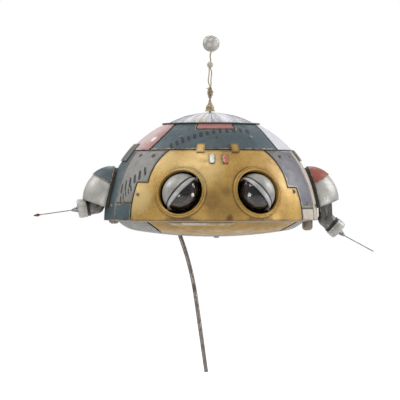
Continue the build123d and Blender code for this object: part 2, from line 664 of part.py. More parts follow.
# ---------------------------------------------------------------- panel screws
screw_spots = FRONT_SCREWS.copy()
beside_pod = math.degrees(math.asin((POD_WIDE_R + SCREW_OFF_POD) / DOME_R))
for az in (90 - beside_pod, 90 + beside_pod, -90 + beside_pod, -90 - beside_pod):
    screw_spots.append((az, SCREW_ROWS_EL[0]))
for az in REAR_SCREWS_AZ:
    screw_spots += [(az, SCREW_ROWS_EL[0]), (az, SCREW_ROWS_EL[1])]
for az in TOP_SCREWS_AZ:
    screw_spots.append((az, SCREW_ROWS_EL[2]))
screws = []
holes = []
for az, el in screw_spots:
    at = radial_plane(az, el, DOME_R)
    head = Pos(0, 0, SURFACE_GAP / 2 + SCREW_HEAD_H / 2) * Cylinder(SCREW_HEAD_R, SCREW_HEAD_H)
    shank = Pos(0, 0, SURFACE_GAP - SCREW_SHANK_L / 2) * Cylinder(SCREW_SHANK_R, SCREW_SHANK_L)
    screws.append(at * (head + shank))
    hole_l = SCREW_SHANK_L + 2
    holes.append(at * Pos(0, 0, 1 - hole_l / 2) * Cylinder(SCREW_SHANK_R + SCREW_CLEAR, hole_l))
hole_set = Compound(children=holes)
catch_z = BELLY_BOTTOM_Z - CATCH_H / 2
screws.append(Pos(CATCH_AT[0], CATCH_AT[1], catch_z) * Cylinder(CATCH_R, CATCH_H))
parts["panel_screws"] = Compound(children=screws)

# ---------------------------------------------------------------- shoulder latches
latches = []
for s, above in ((-1, LEFT_LATCH_ABOVE_BROW), (1, RIGHT_LATCH_ABOVE_BROW)):
    sector = wedge(*sorted([s * LATCH_AZ[0], s * LATCH_AZ[1]]), SLIVER)
    patch = Sphere(DOME_R + SURFACE_GAP + LATCH_T) - Sphere(DOME_R + SURFACE_GAP)
    latches.append(patch & slab(BROW_Z - LATCH_BELOW_BROW, BROW_Z + above) & sector)
parts["side_latches"] = Compound(children=latches)

# ---------------------------------------------------------------- pods and guns
def pod_ellipsoid(grow):
    """Egg shape about the pod's own frame: x along the base downwards, z outwards."""
    arc = EllipticalCenterArc((0, 0), POD_LONG_R + grow, POD_WIDE_R + grow, 0, arc_size=180)
    chord = Line((-(POD_LONG_R + grow), 0), (POD_LONG_R + grow, 0))
    return revolve(make_face(Wire([arc, chord])), Axis.X)


gaskets = []
shells = []
brackets = []
gun_pins = []
for side, s, pivot_z, gun_deg, lift, bend, needle_l in (
    ("left", -1, LEFT_PIVOT_Z, LEFT_GUN_DEG, LEFT_GUN_LIFT, LEFT_NEEDLE_BEND, LEFT_NEEDLE_L),
    ("right", 1, RIGHT_PIVOT_Z, RIGHT_GUN_DEG, RIGHT_GUN_LIFT, RIGHT_NEEDLE_BEND, RIGHT_NEEDLE_L),
):
    pivot_x = math.sqrt(DOME_R ** 2 - pivot_z ** 2) + BARREL_R + PIVOT_CLEAR
    at = Vector(s * pivot_x, 0, pivot_z)
    gun_sweep = None
    for up in (0, lift / 2, lift):
        aim = Vector(s * cosd(gun_deg - up), 0, -sind(gun_deg - up))
        reach = BARREL_L + GUNCAP_L + GUN_ROOM
        along = Plane(origin=at, x_dir=(0, 1, 0), z_dir=aim)
        room = along * Pos(0, 0, reach / 2) * Cylinder(GUNCAP_R + GUN_ROOM, reach)
        gun_sweep = room if gun_sweep is None else gun_sweep + room
    out = Vector(s * cosd(POD_EL), 0, sind(POD_EL))
    down = Vector(s * sind(POD_EL), 0, -cosd(POD_EL))
    pod = Plane(origin=out * POD_BASE_D + down * POD_DROP, x_dir=down, z_dir=out)
    above_floor = Pos(POD_FLOOR - FAR, 0, 0) * Box(2 * FAR, FAR, FAR)
    outwards = Pos(0, 0, FAR / 2 - 3) * Box(2 * FAR, FAR, FAR)
    hull = pod * (pod_ellipsoid(0) & above_floor & outwards)
    cavity = pod * pod_ellipsoid(-POD_T)
    foot_cavity = pod * pod_ellipsoid(-GASKET_WALL)
    shells.append(hull - cavity - Sphere(GASKET_R + GASKET_GAP) - gun_sweep)
    gaskets.append((hull - foot_cavity) & (Sphere(GASKET_R) - Sphere(DOME_R + SURFACE_GAP)))
    lid_edge = Plane(
        origin=pod.origin + out * POD_TOP_OUT - down * POD_TOP_UP,
        x_dir=(0, 1, 0),
        z_dir=(-s * sind(POD_TOP_DEG), 0, cosd(POD_TOP_DEG)),
    )
    above_edge = lid_edge * Pos(0, 0, FAR / 2) * Box(FAR, FAR, FAR)
    top = pod * ((pod_ellipsoid(SURFACE_GAP + POD_TOP_T) - pod_ellipsoid(SURFACE_GAP)) & outwards)
    parts[f"{side}_pod_top"] = (top & above_edge) - Sphere(GASKET_R + GASKET_GAP)

    ear_in = BARREL_R + EAR_GAP
    ear_out = ear_in + EAR_T
    web_low = LEFT_PIVOT_Z + BARREL_R + WEB_GAP
    head = Vector(at.X - s * EAR_LEAN, 0, web_low + WEB_H / 2)
    long_way = (head - at).length
    middle = (head + at) * 0.5
    lean = math.degrees(math.atan2(head.X - at.X, head.Z - at.Z))
    arm = Pos(middle.X, 0, middle.Z) * Rot(0, lean, 0) * Box(2 * EAR_R, 2 * ear_out, long_way)
    arm += Pos(at.X, 0, at.Z) * Rot(90, 0, 0) * Cylinder(EAR_R, 2 * ear_out)
    between = Pos(at.X, 0, at.Z) * Box(FAR, 2 * ear_in, 2 * (web_low - at.Z))
    web = Pos(s * (DOME_R + WEB_T / 2 - 0.5), 0, web_low + WEB_H / 2) * Box(WEB_T, 2 * ear_out, WEB_H)
    inside_hood = pod * pod_ellipsoid(-POD_T - EAR_GAP) + slab(-FAR, LEFT_PIVOT_Z + SLIVER)
    bracket = ((arm - between) + web) & inside_hood
    bracket -= Sphere(DOME_R + SURFACE_GAP)
    gun_pin = Pos(at.X, 0, at.Z) * Rot(90, 0, 0) * Cylinder(GUN_PIN_R, 2 * (ear_out + GUN_PIN_END))
    brackets.append(bracket - gun_pin)
    gun_pins.append(gun_pin)

    aim = Vector(s * cosd(gun_deg), 0, -sind(gun_deg))
    gun = Plane(origin=at, x_dir=(0, 1, 0), z_dir=aim)
    tube = Cylinder(BARREL_R, 2 * BARREL_R)
    tail = tube & (Rot(0, 90, 0) * Cylinder(BARREL_R, 2 * BARREL_R + 2))
    straight_l = BARREL_L - COLLAR_L
    barrel = tail + Pos(0, 0, straight_l / 2) * Cylinder(BARREL_R, straight_l)
    barrel += Pos(0, 0, BARREL_L - COLLAR_L / 2) * Cylinder(COLLAR_R, COLLAR_L)
    barrel -= Rot(0, 90, 0) * Cylinder(GUN_PIN_R + GUN_PIN_CLEAR, 4 * BARREL_R)
    parts[f"{side}_gun_barrel"] = gun * barrel
    guncap = Cylinder(GUNCAP_R, GUNCAP_L)
    guncap = chamfer(guncap.edges().filter_by(GeomType.CIRCLE).sort_by(Axis.Z)[-1], GUNCAP_CHAMFER)
    parts[f"{side}_gun_cap"] = gun * Pos(0, 0, BARREL_L + GUNCAP_L / 2) * guncap
    hub_foot = BARREL_L + GUNCAP_L
    hub = Pos(0, 0, hub_foot + HUB_L / 2) * Cone(HUB_R, HUB_TIP_R, HUB_L)
    needle_aim = Vector(s * cosd(gun_deg - bend), 0, -sind(gun_deg - bend))
    hub_tip = at + aim * (hub_foot + HUB_L - NEEDLE_IN_HUB)
    needle_plane = Plane(origin=hub_tip, x_dir=(0, 1, 0), z_dir=needle_aim)
    wire_l = needle_l - (DART_L if side == "left" else 0)
    wire = needle_plane * Pos(0, 0, wire_l / 2) * Cylinder(NEEDLE_R, wire_l)
    parts[f"{side}_needle"] = (gun * hub) + wire
    if side == "left":
        dart_low = Cone(NEEDLE_R, DART_R, DART_L * 0.4)
        dart_high = Cone(DART_R, 0.3, DART_L * 0.6)
        dart = Pos(0, 0, DART_L * 0.2) * dart_low + Pos(0, 0, DART_L * 0.7) * dart_high
        parts["needle_dart"] = needle_plane * Pos(0, 0, wire_l) * dart
parts["pod_gaskets"] = Compound(children=gaskets)
parts["pod_shells"] = Compound(children=shells)
parts["gun_brackets"] = Compound(children=brackets)
parts["gun_pins"] = Compound(children=gun_pins)
parts["chassis_ring"] = ring
parts["chassis_plate"] = plate
parts["dome_liner"] = liner

screwed = [name for name in parts if name.endswith("_panel")] + ["face_plate", "dome_liner", "face_tabs"]
for name in screwed:
    parts[name] = parts[name] - hole_set

# ---------------------------------------------------------------- write the pieces
os.makedirs("parts", exist_ok=True)
for name, shape in parts.items():
    export_step(Pos(SHIFT.X, SHIFT.Y, SHIFT.Z) * shape, f"parts/{name}.step")
print(len(parts), "pieces")
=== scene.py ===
"""Finish of a flying-saucer robot model: worn patchwork paint, lidded glass eyes, antenna, guns and rod."""
import json
import math
import random

import bmesh
import bpy
from mathutils import Matrix, Vector, kdtree, noise


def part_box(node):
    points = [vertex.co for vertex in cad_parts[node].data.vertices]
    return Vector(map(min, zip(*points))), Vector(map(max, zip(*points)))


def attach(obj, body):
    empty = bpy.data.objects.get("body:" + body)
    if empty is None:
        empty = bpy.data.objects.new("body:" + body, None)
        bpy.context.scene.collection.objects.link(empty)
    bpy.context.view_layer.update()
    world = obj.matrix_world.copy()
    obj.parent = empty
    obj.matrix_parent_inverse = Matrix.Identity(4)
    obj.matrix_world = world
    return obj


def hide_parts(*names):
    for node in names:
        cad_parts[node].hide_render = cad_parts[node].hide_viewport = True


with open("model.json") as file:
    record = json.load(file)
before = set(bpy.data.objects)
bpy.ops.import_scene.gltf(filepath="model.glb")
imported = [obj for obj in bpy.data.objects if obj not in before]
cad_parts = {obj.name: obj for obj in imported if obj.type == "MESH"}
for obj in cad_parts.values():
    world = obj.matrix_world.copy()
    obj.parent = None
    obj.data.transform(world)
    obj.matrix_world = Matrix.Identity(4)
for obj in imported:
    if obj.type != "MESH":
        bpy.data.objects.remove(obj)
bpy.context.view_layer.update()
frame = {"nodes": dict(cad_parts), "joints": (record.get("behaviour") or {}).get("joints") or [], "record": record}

bl_info = {
    "name": "Flying saucer robot model",
    "version": (1, 0, 0),
    "blender": (4, 5, 0),
    "location": "View3D > Sidebar > Saucer",
    "description": "Builds the painted skin, eyes, antenna and guns round the packed saucer",
    "category": "Object",
}

MM = 0.001
BODIES = frame["record"]["behaviour"]["bodies"]
SLOTS = {row["node"]: row["material_slot"] for row in frame["record"]["subparts"]}
JOINTS = {joint["name"]: joint for joint in frame["joints"]}
SIDES = (("left", -1), ("right", 1))
UP = Vector((0, 0, 1))
RING_ABOVE_CENTRE = 3.0      # mm from the ball's centre to the top of the chassis ring


class Box:
    """A CAD node's box at rest: its corners, middle and size, and the middle of its foot."""

    def __init__(self, node):
        self.low, self.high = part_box(node)
        self.middle = (self.low + self.high) / 2
        self.size = self.high - self.low
        self.foot = Vector((self.middle.x, self.middle.y, self.low.z))


def body_of(node):
    for body, members in BODIES.items():
        if node in members:
            return body
    raise ValueError(f"no body holds {node}")


def find_centre():
    """Centre of the ball that the skin lies on, and the skin's outside radius."""
    ring, face = Box("chassis_ring"), Box("face_plate")
    centre = Vector((ring.middle.x, ring.middle.y, ring.high.z - RING_ABOVE_CENTRE * MM))
    return centre, math.hypot(centre.y - face.low.y, face.low.z - centre.z)


CENTRE, SKIN_R = find_centre()


def out_at(az, el):
    """Unit vector from the ball's centre; azimuth 0 is the face, elevation up, both in degrees."""
    a, e = math.radians(az), math.radians(el)
    return Vector((math.sin(a) * math.cos(e), -math.cos(a) * math.cos(e), math.sin(e)))


def skin_point(az, el):
    return CENTRE + out_at(az, el) * SKIN_R


# ---------------------------------------------------------------- settings
def length(name, description, default):
    return bpy.props.FloatProperty(
        name=name, description=description, default=default, unit="LENGTH", precision=5
    )


def colour(name, description, red, green, blue):
    def linear(value):
        value /= 255
        return value / 12.92 if value <= 0.04045 else ((value + 0.055) / 1.055) ** 2.4

    shade = tuple(linear(v) for v in (red, green, blue))
    return bpy.props.FloatVectorProperty(
        name=name, description=description, subtype="COLOR", size=3, min=0, max=1, default=shade
    )


class SaucerSizes(bpy.types.PropertyGroup):
    edge_round: length("Edge round", "Rounding on the edges of panels and fittings", 0.22 * MM)
    skin_step: length("Skin step", "Longest edge in the meshes of the curved skin", 2.0 * MM)
    small_step: length("Small step", "Longest edge in the meshes of eyelids, pods and latches", 1.1 * MM)
    dent_depth: length("Dent depth", "How far the skin is dented in", 0.16 * MM)
    worn_band: length("Worn band", "Width of the worn and dirty band along edges", 5.0 * MM)
    screw_head: length("Screw head", "Radius of the panel screws' heads", 1.45 * MM)
    mark_proud: length("Mark thickness", "Height of the stencilled bars over the skin", 0.06 * MM)
    wire: length("Wrap wire", "Radius of the wire wrapped round the antenna", 0.38 * MM)
    ribs: bpy.props.IntProperty(
        name="Cap ribs", description="Fine radial ribs round the cap", default=96, min=8
    )
    ball_lump: length("Ball lumps", "Depth of the lumps in the antenna's ball", 0.55 * MM)


class SaucerColours(bpy.types.PropertyGroup):
    gold: colour("Gold", "Face plate and belly paint", 190, 152, 78)
    gold_dark: colour("Dark gold", "Browned areas of the gold paint", 142, 108, 54)
    teal: colour("Teal", "Blue-green panels", 66, 83, 88)
    red: colour("Faded red", "Pink-red panels", 164, 106, 98)
    pod_red: colour("Pod red", "Red-brown top of the right pod", 150, 74, 56)
    grey: colour("Grey", "Left cheek", 127, 125, 119)
    violet: colour("Violet grey", "Right cheek", 94, 93, 101)
    bone: colour("Bone", "Beige panels", 186, 176, 160)
    pale: colour("Pale", "Whitish panels", 206, 206, 210)
    silver: colour("Silver", "Pods and eyelids", 178, 175, 168)
    gunmetal: colour("Gunmetal", "Barrels, latches and brackets", 122, 119, 114)
    brass: colour("Brass", "Antenna stem", 172, 156, 126)
    # soot colours dirt in seams, and also the painted shadow line on the eyelids
    soot_and_shade: colour("Soot", "Dirt in seams", 44, 36, 28)
    ink: colour("Ink", "Stencilled bars", 30, 31, 33)
    iris: colour("Iris", "Brown of the eyes", 104, 76, 62)
    umber: colour("Umber", "Worn feet and ring", 138, 124, 108)
    dart: colour("Dart", "Dark red dart", 122, 30, 30)


# ---------------------------------------------------------------- shader building
class Bench:
    """Adds nodes to one tree. Each input is a plain value or another node's output."""

    def __init__(self, tree):
        self.tree = tree
        tree.nodes.clear()

    def put(self, kind, settings=None, inputs=None):
        node = self.tree.nodes.new(kind)
        for key, value in (settings or {}).items():
            setattr(node, key, value)
        for key, value in (inputs or {}).items():
            socket = node.inputs[key]
            if isinstance(value, bpy.types.NodeSocket):
                self.tree.links.new(value, socket)
            else:
                socket.default_value = value
        return node

    def math(self, operation, first, second=0.0):
        return self.put("ShaderNodeMath", {"operation": operation}, {0: first, 1: second}).outputs[0]

    def times(self, first, second):
        return self.math("MULTIPLY", first, second)

    def plus(self, first, second):
        return self.math("ADD", first, second)

    def less(self, first, second):
        return self.math("SUBTRACT", first, second)

    def vector(self, operation, first, second=(0, 0, 0)):
        """A Vector Math node's two outputs, a vector and a plain value."""
        inputs = {0: first, 1: second}
        return self.put("ShaderNodeVectorMath", {"operation": operation}, inputs).outputs

    def scaled(self, vector, factor):
        settings = {"operation": "SCALE"}
        return self.put("ShaderNodeVectorMath", settings, {0: vector, "Scale": factor}).outputs[0]

    def split(self, vector):
        return self.put("ShaderNodeSeparateXYZ", None, {0: vector}).outputs

    def join(self, x, y, z=0.0):
        return self.put("ShaderNodeCombineXYZ", None, {0: x, 1: y, 2: z}).outputs[0]

    def blend(self, share, first, second, way="MIX"):
        settings = {"data_type": "RGBA", "blend_type": way, "clamp_factor": True}
        return self.put("ShaderNodeMix", settings, {0: share, 6: first, 7: second}).outputs[2]

    def between(self, share, first, second):
        settings = {"data_type": "FLOAT", "clamp_factor": True}
        return self.put("ShaderNodeMix", settings, {0: share, 2: first, 3: second}).outputs[0]

    def step(self, value, low, high, start=0.0, end=1.0):
        settings = {"interpolation_type": "SMOOTHSTEP"}
        inputs = {"Value": value, "From Min": low, "From Max": high, "To Min": start, "To Max": end}
        return self.put("ShaderNodeMapRange", settings, inputs).outputs[0]

    def noise(self, place, scale, detail, rough, twist=0.0):
        inputs = {"Vector": place, "Scale": scale, "Detail": detail, "Roughness": rough, "Distortion": twist}
        return self.put("ShaderNodeTexNoise", None, inputs).outputs[0]

    def cloud(self, place, size, detail=4.0, rough=0.55, twist=0.0):
        """Noise with features of about that many millimetres."""
        return self.noise(place, self.math("DIVIDE", 1000.0, size), detail, rough, twist)

    def place(self):
        return self.put("ShaderNodeTexCoord").outputs["Object"]

    def along_axes(self, origin, *axes):
        """How far the surface lies from a point along each axis."""
        local = self.vector("SUBTRACT", self.place(), origin)[0]
        return [self.vector("DOT_PRODUCT", local, axis)[1] for axis in axes]

    def use(self, name, inputs):
        """A shader group's outputs."""
        return self.put("ShaderNodeGroup", {"node_tree": tree_named(name)}, inputs).outputs

    def spotted(self, shade, point, radius, tint, strength):
        """The colour with a round spot on it, its radius in mm; the spots are stains and painted highlights."""
        mask = self.use("stain", {"Centre": point, "Radius": radius * MM})["Mask"]
        return self.blend(self.times(mask, strength), shade, tint)

    def end_group(self, results):
        self.put("NodeGroupOutput", None, results)
        return self.tree


def new_tree(name, kind, inputs, outputs):
    """An empty node tree with named inputs and outputs: its bench and its input sockets."""
    tree = bpy.data.node_groups.new(name, kind)
    bench = Bench(tree)
    for label, sort, default in inputs:
        socket = tree.interface.new_socket(name=label, in_out="INPUT", socket_type=f"NodeSocket{sort}")
        if default is not None:
            socket.default_value = default
    for label, sort in outputs:
        tree.interface.new_socket(name=label, in_out="OUTPUT", socket_type=f"NodeSocket{sort}")
    return bench, bench.put("NodeGroupInput").outputs


def make_worn_paint():
    """Paint with mottling, grain, chips, rubbed edges and dirty seams."""
    grey = (0.5, 0.5, 0.5, 1)
    bench, take = new_tree(
        "worn_paint", "ShaderNodeTree",
        [
            ("Paint", "Color", grey), ("Tone", "Color", grey), ("Under", "Color", grey),
            ("Dirt", "Color", grey), ("Mottle Size", "Float", 14.0), ("Mottle", "Float", 0.6),
            ("Grain Size", "Float", 0.9), ("Grain", "Float", 0.25), ("Wear", "Float", 0.5),
            ("Chips", "Float", 0.2), ("Grime", "Float", 0.6), ("Smooth", "Float", 0.35),
            ("Dull", "Float", 0.6), ("Paint Metal", "Float", 0.0), ("Under Metal", "Float", 0.8),
        ],
        [("Color", "Color"), ("Roughness", "Float"), ("Metallic", "Float"), ("Height", "Float")],
    )
    place = bench.place()
    broad = bench.cloud(place, take["Mottle Size"], 5.0, 0.6, 0.4)
    middle = bench.cloud(place, bench.times(take["Mottle Size"], 0.22), 5.0, 0.65, 0.2)
    fine = bench.cloud(place, take["Grain Size"], 3.0, 0.6)
    near = bench.put("ShaderNodeAttribute", {"attribute_name": "near_edge"}).outputs["Fac"]

    mottled = bench.times(bench.step(broad, 0.38, 0.66), take["Mottle"])
    shade = bench.blend(mottled, take["Paint"], take["Tone"])
    speckled = bench.times(bench.step(middle, 0.45, 0.72), bench.times(take["Mottle"], 0.6))
    shade = bench.blend(speckled, shade, take["Tone"])
    grained = bench.blend(1.0, shade, bench.step(fine, 0.25, 0.75, 0.7, 1.25), "MULTIPLY")
    shade = bench.blend(take["Grain"], shade, grained)

    ragged = bench.plus(near, bench.times(bench.less(middle, 0.5), 0.9))
    edge_limit = bench.less(1.25, bench.times(take["Wear"], 0.55))
    rubbed = bench.step(ragged, edge_limit, bench.plus(edge_limit, 0.08))
    chip_limit = bench.less(0.86, bench.times(take["Chips"], 0.3))
    chipped = bench.step(bench.cloud(place, 3.2, 4.0, 0.7), chip_limit, bench.plus(chip_limit, 0.02))
    bare = bench.math("MAXIMUM", rubbed, chipped)
    shade = bench.blend(bare, shade, take["Under"])

    seam_dirt = bench.step(bench.plus(near, bench.times(broad, 0.5)), 0.85, 1.35)
    pits = bench.step(bench.cloud(place, 1.7, 2.0, 0.5), 0.68, 0.76)
    dirt = bench.times(bench.math("MAXIMUM", seam_dirt, bench.times(pits, 0.8)), take["Grime"])
    rough = bench.between(bench.step(middle, 0.3, 0.7), take["Smooth"], take["Dull"])
    metal = bench.between(bare, take["Paint Metal"], take["Under Metal"])
    height = bench.plus(bench.times(bare, -0.5), bench.times(fine, 0.3))
    height = bench.plus(height, bench.times(middle, 0.35))
    return bench.end_group({
        "Color": bench.blend(dirt, shade, take["Dirt"]),
        "Roughness": bench.plus(rough, bench.times(dirt, 0.25)),
        "Metallic": bench.times(metal, bench.less(1.0, dirt)),
        "Height": bench.less(height, bench.times(pits, 0.5)),
    })


def make_spot():
    """Mask of a round spot with a ragged edge, for stains and painted highlights."""
    bench, take = new_tree(
        "stain", "ShaderNodeTree",
        [("Centre", "Vector", (0, 0, 0)), ("Radius", "Float", 0.01), ("Ragged", "Float", 0.6)],
        [("Mask", "Float")],
    )
    place = bench.place()
    share = bench.math("DIVIDE", bench.vector("DISTANCE", place, take["Centre"])[1], take["Radius"])
    uneven = bench.times(bench.less(bench.cloud(place, 3.0, 4.0, 0.65), 0.5), take["Ragged"])
    return bench.end_group({"Mask": bench.step(bench.plus(share, uneven), 1.15, 0.45)})


def make_streaks():
    """Streaks that run out from an upright axis, for a spun or brushed dome."""
    bench, take = new_tree(
        "radial_streaks", "ShaderNodeTree",
        [("Axis Point", "Vector", (0, 0, 0)), ("Count", "Float", 60.0), ("Length", "Float", 12.0)],
        [("Value", "Float"), ("Fine", "Float")],
    )
    part = bench.split(bench.vector("SUBTRACT", bench.place(), take["Axis Point"])[0])
    flat = bench.join(part[0], part[1])
    way = bench.vector("NORMALIZE", flat)[0]
    turn = bench.split(bench.scaled(way, bench.math("DIVIDE", take["Count"], 6.28)))
    reach = bench.vector("LENGTH", flat)[1]
    along = bench.math("DIVIDE", bench.times(reach, 1000.0), take["Length"])
    spot = bench.join(turn[0], turn[1], along)
    return bench.end_group({
        "Value": bench.noise(spot, 1.0, 4.0, 0.6), "Fine": bench.noise(spot, 4.0, 3.0, 0.7),
    })


TREES = {}
MATERIALS = {}


def tree_named(name):
    """A node tree, made the first time that it is needed."""
    makers = {
        "worn_paint": make_worn_paint, "stain": make_spot, "radial_streaks": make_streaks,
        "set_on_points": make_setting_tree,
    }
    if name not in TREES:
        TREES[name] = makers[name]()
    return TREES[name]


# ---------------------------------------------------------------- finishes
RUST = (0.13, 0.035, 0.018, 1)
BROWN = (0.10, 0.055, 0.02, 1)
# painted highlight: pale gold laid on the face where the light falls brightest
PAINTED_HIGHLIGHT_GOLD = (0.72, 0.56, 0.27, 1)
# painted highlight: whitish red for the strong light on the outer edge of the upper-left red panel
PAINTED_HIGHLIGHT_RED = (0.72, 0.66, 0.65, 1)
CHALK = (0.78, 0.76, 0.74, 1)
SMOKE = (0.05, 0.05, 0.055, 1)
BARE_METAL = (0.42, 0.41, 0.39, 1)
BARE_GOLD = (0.33, 0.27, 0.17, 1)
BARE_SILVER = (0.62, 0.61, 0.58, 1)
PAINT_COLUMNS = (
    "Mottle Size", "Mottle", "Grain", "Wear", "Chips", "Grime", "Smooth", "Dull", "Paint Metal",
)
PAINTS = (
    # finish, colour, colour of the second tone and its share, undercoat (None is primer), PAINT_COLUMNS
    ("gold", "gold", "gold_dark", 1.0, BARE_GOLD, 24.0, 0.55, 0.65, 0.25, 0.1, 0.7, 0.34, 0.55, 0.35),
    ("umber", "umber", "umber", 0.5, BARE_METAL, 6.0, 0.7, 0.25, 0.7, 0.3, 0.5, 0.42, 0.66, 0.0),
    ("teal", "teal", "teal", 0.62, None, 20.0, 0.75, 0.35, 0.75, 0.34, 0.65, 0.38, 0.62, 0.0),
    ("red", "red", "red", 0.66, None, 12.0, 0.55, 0.25, 0.6, 0.25, 0.5, 0.4, 0.6, 0.0),
    ("pod_red", "pod_red", "pod_red", 0.6, None, 10.0, 0.6, 0.25, 0.6, 0.2, 0.5, 0.36, 0.58, 0.0),
    ("grey", "grey", "grey", 0.7, None, 18.0, 0.5, 0.25, 0.55, 0.18, 0.6, 0.4, 0.62, 0.0),
    ("violet_grey", "violet", "violet", 0.68, None, 30.0, 0.8, 0.25, 0.95, 0.3, 0.6, 0.34, 0.55, 0.0),
    ("bone", "bone", "bone", 0.74, BARE_METAL, 12.0, 0.5, 0.25, 0.5, 0.25, 0.65, 0.42, 0.62, 0.0),
    ("pale", "pale", "pale", 0.74, BARE_METAL, 16.0, 0.35, 0.25, 0.45, 0.15, 0.5, 0.36, 0.58, 0.0),
    ("silver", "silver", "silver", 0.74, BARE_SILVER, 9.0, 0.7, 0.4, 0.45, 0.2, 0.6, 0.32, 0.54, 0.3),
    ("gunmetal", "gunmetal", "gunmetal", 0.6, BARE_METAL, 7.0, 0.7, 0.3, 0.7, 0.3, 0.5, 0.32, 0.55, 0.6),
    ("brass", "brass", "brass", 0.5, None, 3.0, 0.8, 0.25, 0.5, 0.2, 0.6, 0.32, 0.6, 0.5),
    ("dart", "dart", "dart", 0.5, None, 2.5, 0.6, 0.25, 0.4, 0.2, 0.3, 0.3, 0.5, 0.0),
    ("ink", "ink", "ink", 1.8, None, 5.0, 0.5, 0.25, 0.3, 0.55, 0.2, 0.5, 0.7, 0.0),
)
DARK = {
    "Paint": (0.012, 0.011, 0.010, 1), "Tone": (0.03, 0.026, 0.022, 1), "Under": (0.05, 0.045, 0.04, 1),
    "Smooth": 0.5, "Dull": 0.75, "Paint Metal": 0.0,
}
# round spots on the skin: real stains and rust, and painted highlights
STAINS_AND_PAINTED_HIGHLIGHTS = {
    # azimuth and elevation on the skin, radius in mm, colour, strength
    # the pale gold spots are painted highlights on the forehead and cheeks; the rust and brown spots are stains
    "gold": (
        (5.0, 1.6, 3.2, RUST, 0.8), (3.3, 15.5, 4.5, BROWN, 0.4), (-4.5, 11.1, 9.0, BROWN, 0.3),
        (2.0, 9.0, 19.0, BROWN, 0.3), (-12.0, 30.0, 22.0, PAINTED_HIGHLIGHT_GOLD, 0.4),
        (-34.0, 33.0, 14.0, PAINTED_HIGHLIGHT_GOLD, 0.35), (-47.0, 12.0, 15.0, PAINTED_HIGHLIGHT_GOLD, 0.5),
        (42.0, 22.0, 12.0, PAINTED_HIGHLIGHT_GOLD, 0.3),
    ),
    # the large whitish spot is a painted highlight on the panel's outer edge; the small chalk spot is a painted
    # mark
    "red": ((-84.0, 52.0, 30.0, PAINTED_HIGHLIGHT_RED, 0.6), (-58.0, 48.9, 3.4, CHALK, 0.9)),
    "violet_grey": ((46.3, 15.5, 1.6, RUST, 0.9), (34.0, 33.0, 20.0, SMOKE, 0.75)),
}
PAINT_DEPTH = 0.12           # mm, the bump's height where no other is given
DEPTHS = {"gold": 0.16, "ink": 0.05, "ink_on_teal": 0.05}
STEELS = (
    # finish, colour, tarnish, axis that the scratches run along
    ("steel", (0.24, 0.21, 0.19, 1), (0.13, 0.105, 0.09, 1), "z"),
    ("needle_steel", (0.24, 0.235, 0.225, 1), (0.12, 0.115, 0.105, 1), "x"),
    ("scuffed_strip", (0.50, 0.48, 0.43, 1), (0.34, 0.24, 0.10, 1), "x"),
)
LAMPS = (
    ("white_lamp", (0.70, 0.68, 0.66, 1), (0.40, 0.36, 0.33, 1)),
    ("copper_lamp", (0.50, 0.15, 0.09, 1), (0.26, 0.08, 0.05, 1)),
)
SCRATCH_STRETCH = 0.08       # share that the noise is squeezed to along the scratches
YELLOW_AT = Vector((-10.0, -27.0, 0.0))      # mm from the cap's middle to its yellowed patch
PUPIL_R = (5.2, 4.2)         # mm, where the pupil starts and is full
IRIS_RIM_R = (9.6, 12.2)     # mm, where the iris darkens and is darkest
PAINTED_LOW_LIGHT = (2.0, -8.0)      # mm up the iris, where the painted light on its low part starts and is full
LID_BAND_R = 15.95           # mm from the eye's middle, past which a point is on the lid's band
LID_SHADOW_LINE = (0.95, 0.5)       # mm from the band's border, where its painted shadow line starts and is full


def tinted(shade, factor=1.0):
    return (shade[0] * factor, shade[1] * factor, shade[2] * factor, 1)


def start_material(name):
    material = bpy.data.materials.new(name)
    material.use_nodes = True
    MATERIALS[name] = material
    return Bench(material.node_tree)


def end_material(bench, inputs, height, depth, strength):
    """Puts in the Principled shader, with a bump from the height; its depth is in mm."""
    settings = {"Height": height, "Distance": depth * MM, "Strength": strength}
    inputs["Normal"] = bench.put("ShaderNodeBump", None, settings).outputs[0]
    shader = bench.put("ShaderNodeBsdfPrincipled", None, inputs)
    bench.put("ShaderNodeOutputMaterial", None, {"Surface": shader.outputs[0]})


def end_worn(bench, worn, shade, depth=PAINT_DEPTH):
    """Ends a worn-paint material whose colour has been worked on."""
    inputs = {"Base Color": shade, "Roughness": worn["Roughness"], "Metallic": worn["Metallic"]}
    end_material(bench, inputs, worn["Height"], depth, 0.8)


def paint_values(colours):
    """Inputs of the worn-paint group for every painted and metal finish."""
    values = {}
    for name, shade, tone, share, under, *numbers in PAINTS:
        values[name] = {
            "Paint": tinted(getattr(colours, shade)), "Tone": tinted(getattr(colours, tone), share),
            "Under": under or tinted(colours.bone, 0.9), "Dirt": tinted(colours.soot_and_shade),
            **dict(zip(PAINT_COLUMNS, numbers)),
        }
    values["ink"].update({"Under": tinted(colours.grey, 0.6), "Under Metal": 0.0})
    dark = {**values["gunmetal"], **DARK}
    # painted shade: the belly's gold is the face gold darkened, for the shade on the underside
    gold_painted_shade = {"Paint": tinted(colours.gold, 0.7), "Tone": tinted(colours.gold_dark, 0.75)}
    values.update({
        "belly_gold": {**values["gold"], **gold_painted_shade},
        "ink_on_teal": {**values["ink"], "Under": tinted(colours.teal, 0.9)},
        "dark": dark,
        "structure": {**dark, "Paint": (0.02, 0.018, 0.016, 1)},
        "eye_core": {**dark, "Paint": (0.008, 0.006, 0.005, 1), "Smooth": 0.25, "Dull": 0.4},
    })
    return values


def make_paint(name, values):
    """A worn paint with its stains and painted highlights."""
    bench = start_material(name)
    worn = bench.use("worn_paint", values)
    shade = worn["Color"]
    for az, el, radius, tint, strength in STAINS_AND_PAINTED_HIGHLIGHTS.get(name, ()):
        shade = bench.spotted(shade, skin_point(az, el), radius, tint, strength)
    end_worn(bench, worn, shade, DEPTHS.get(name, PAINT_DEPTH))


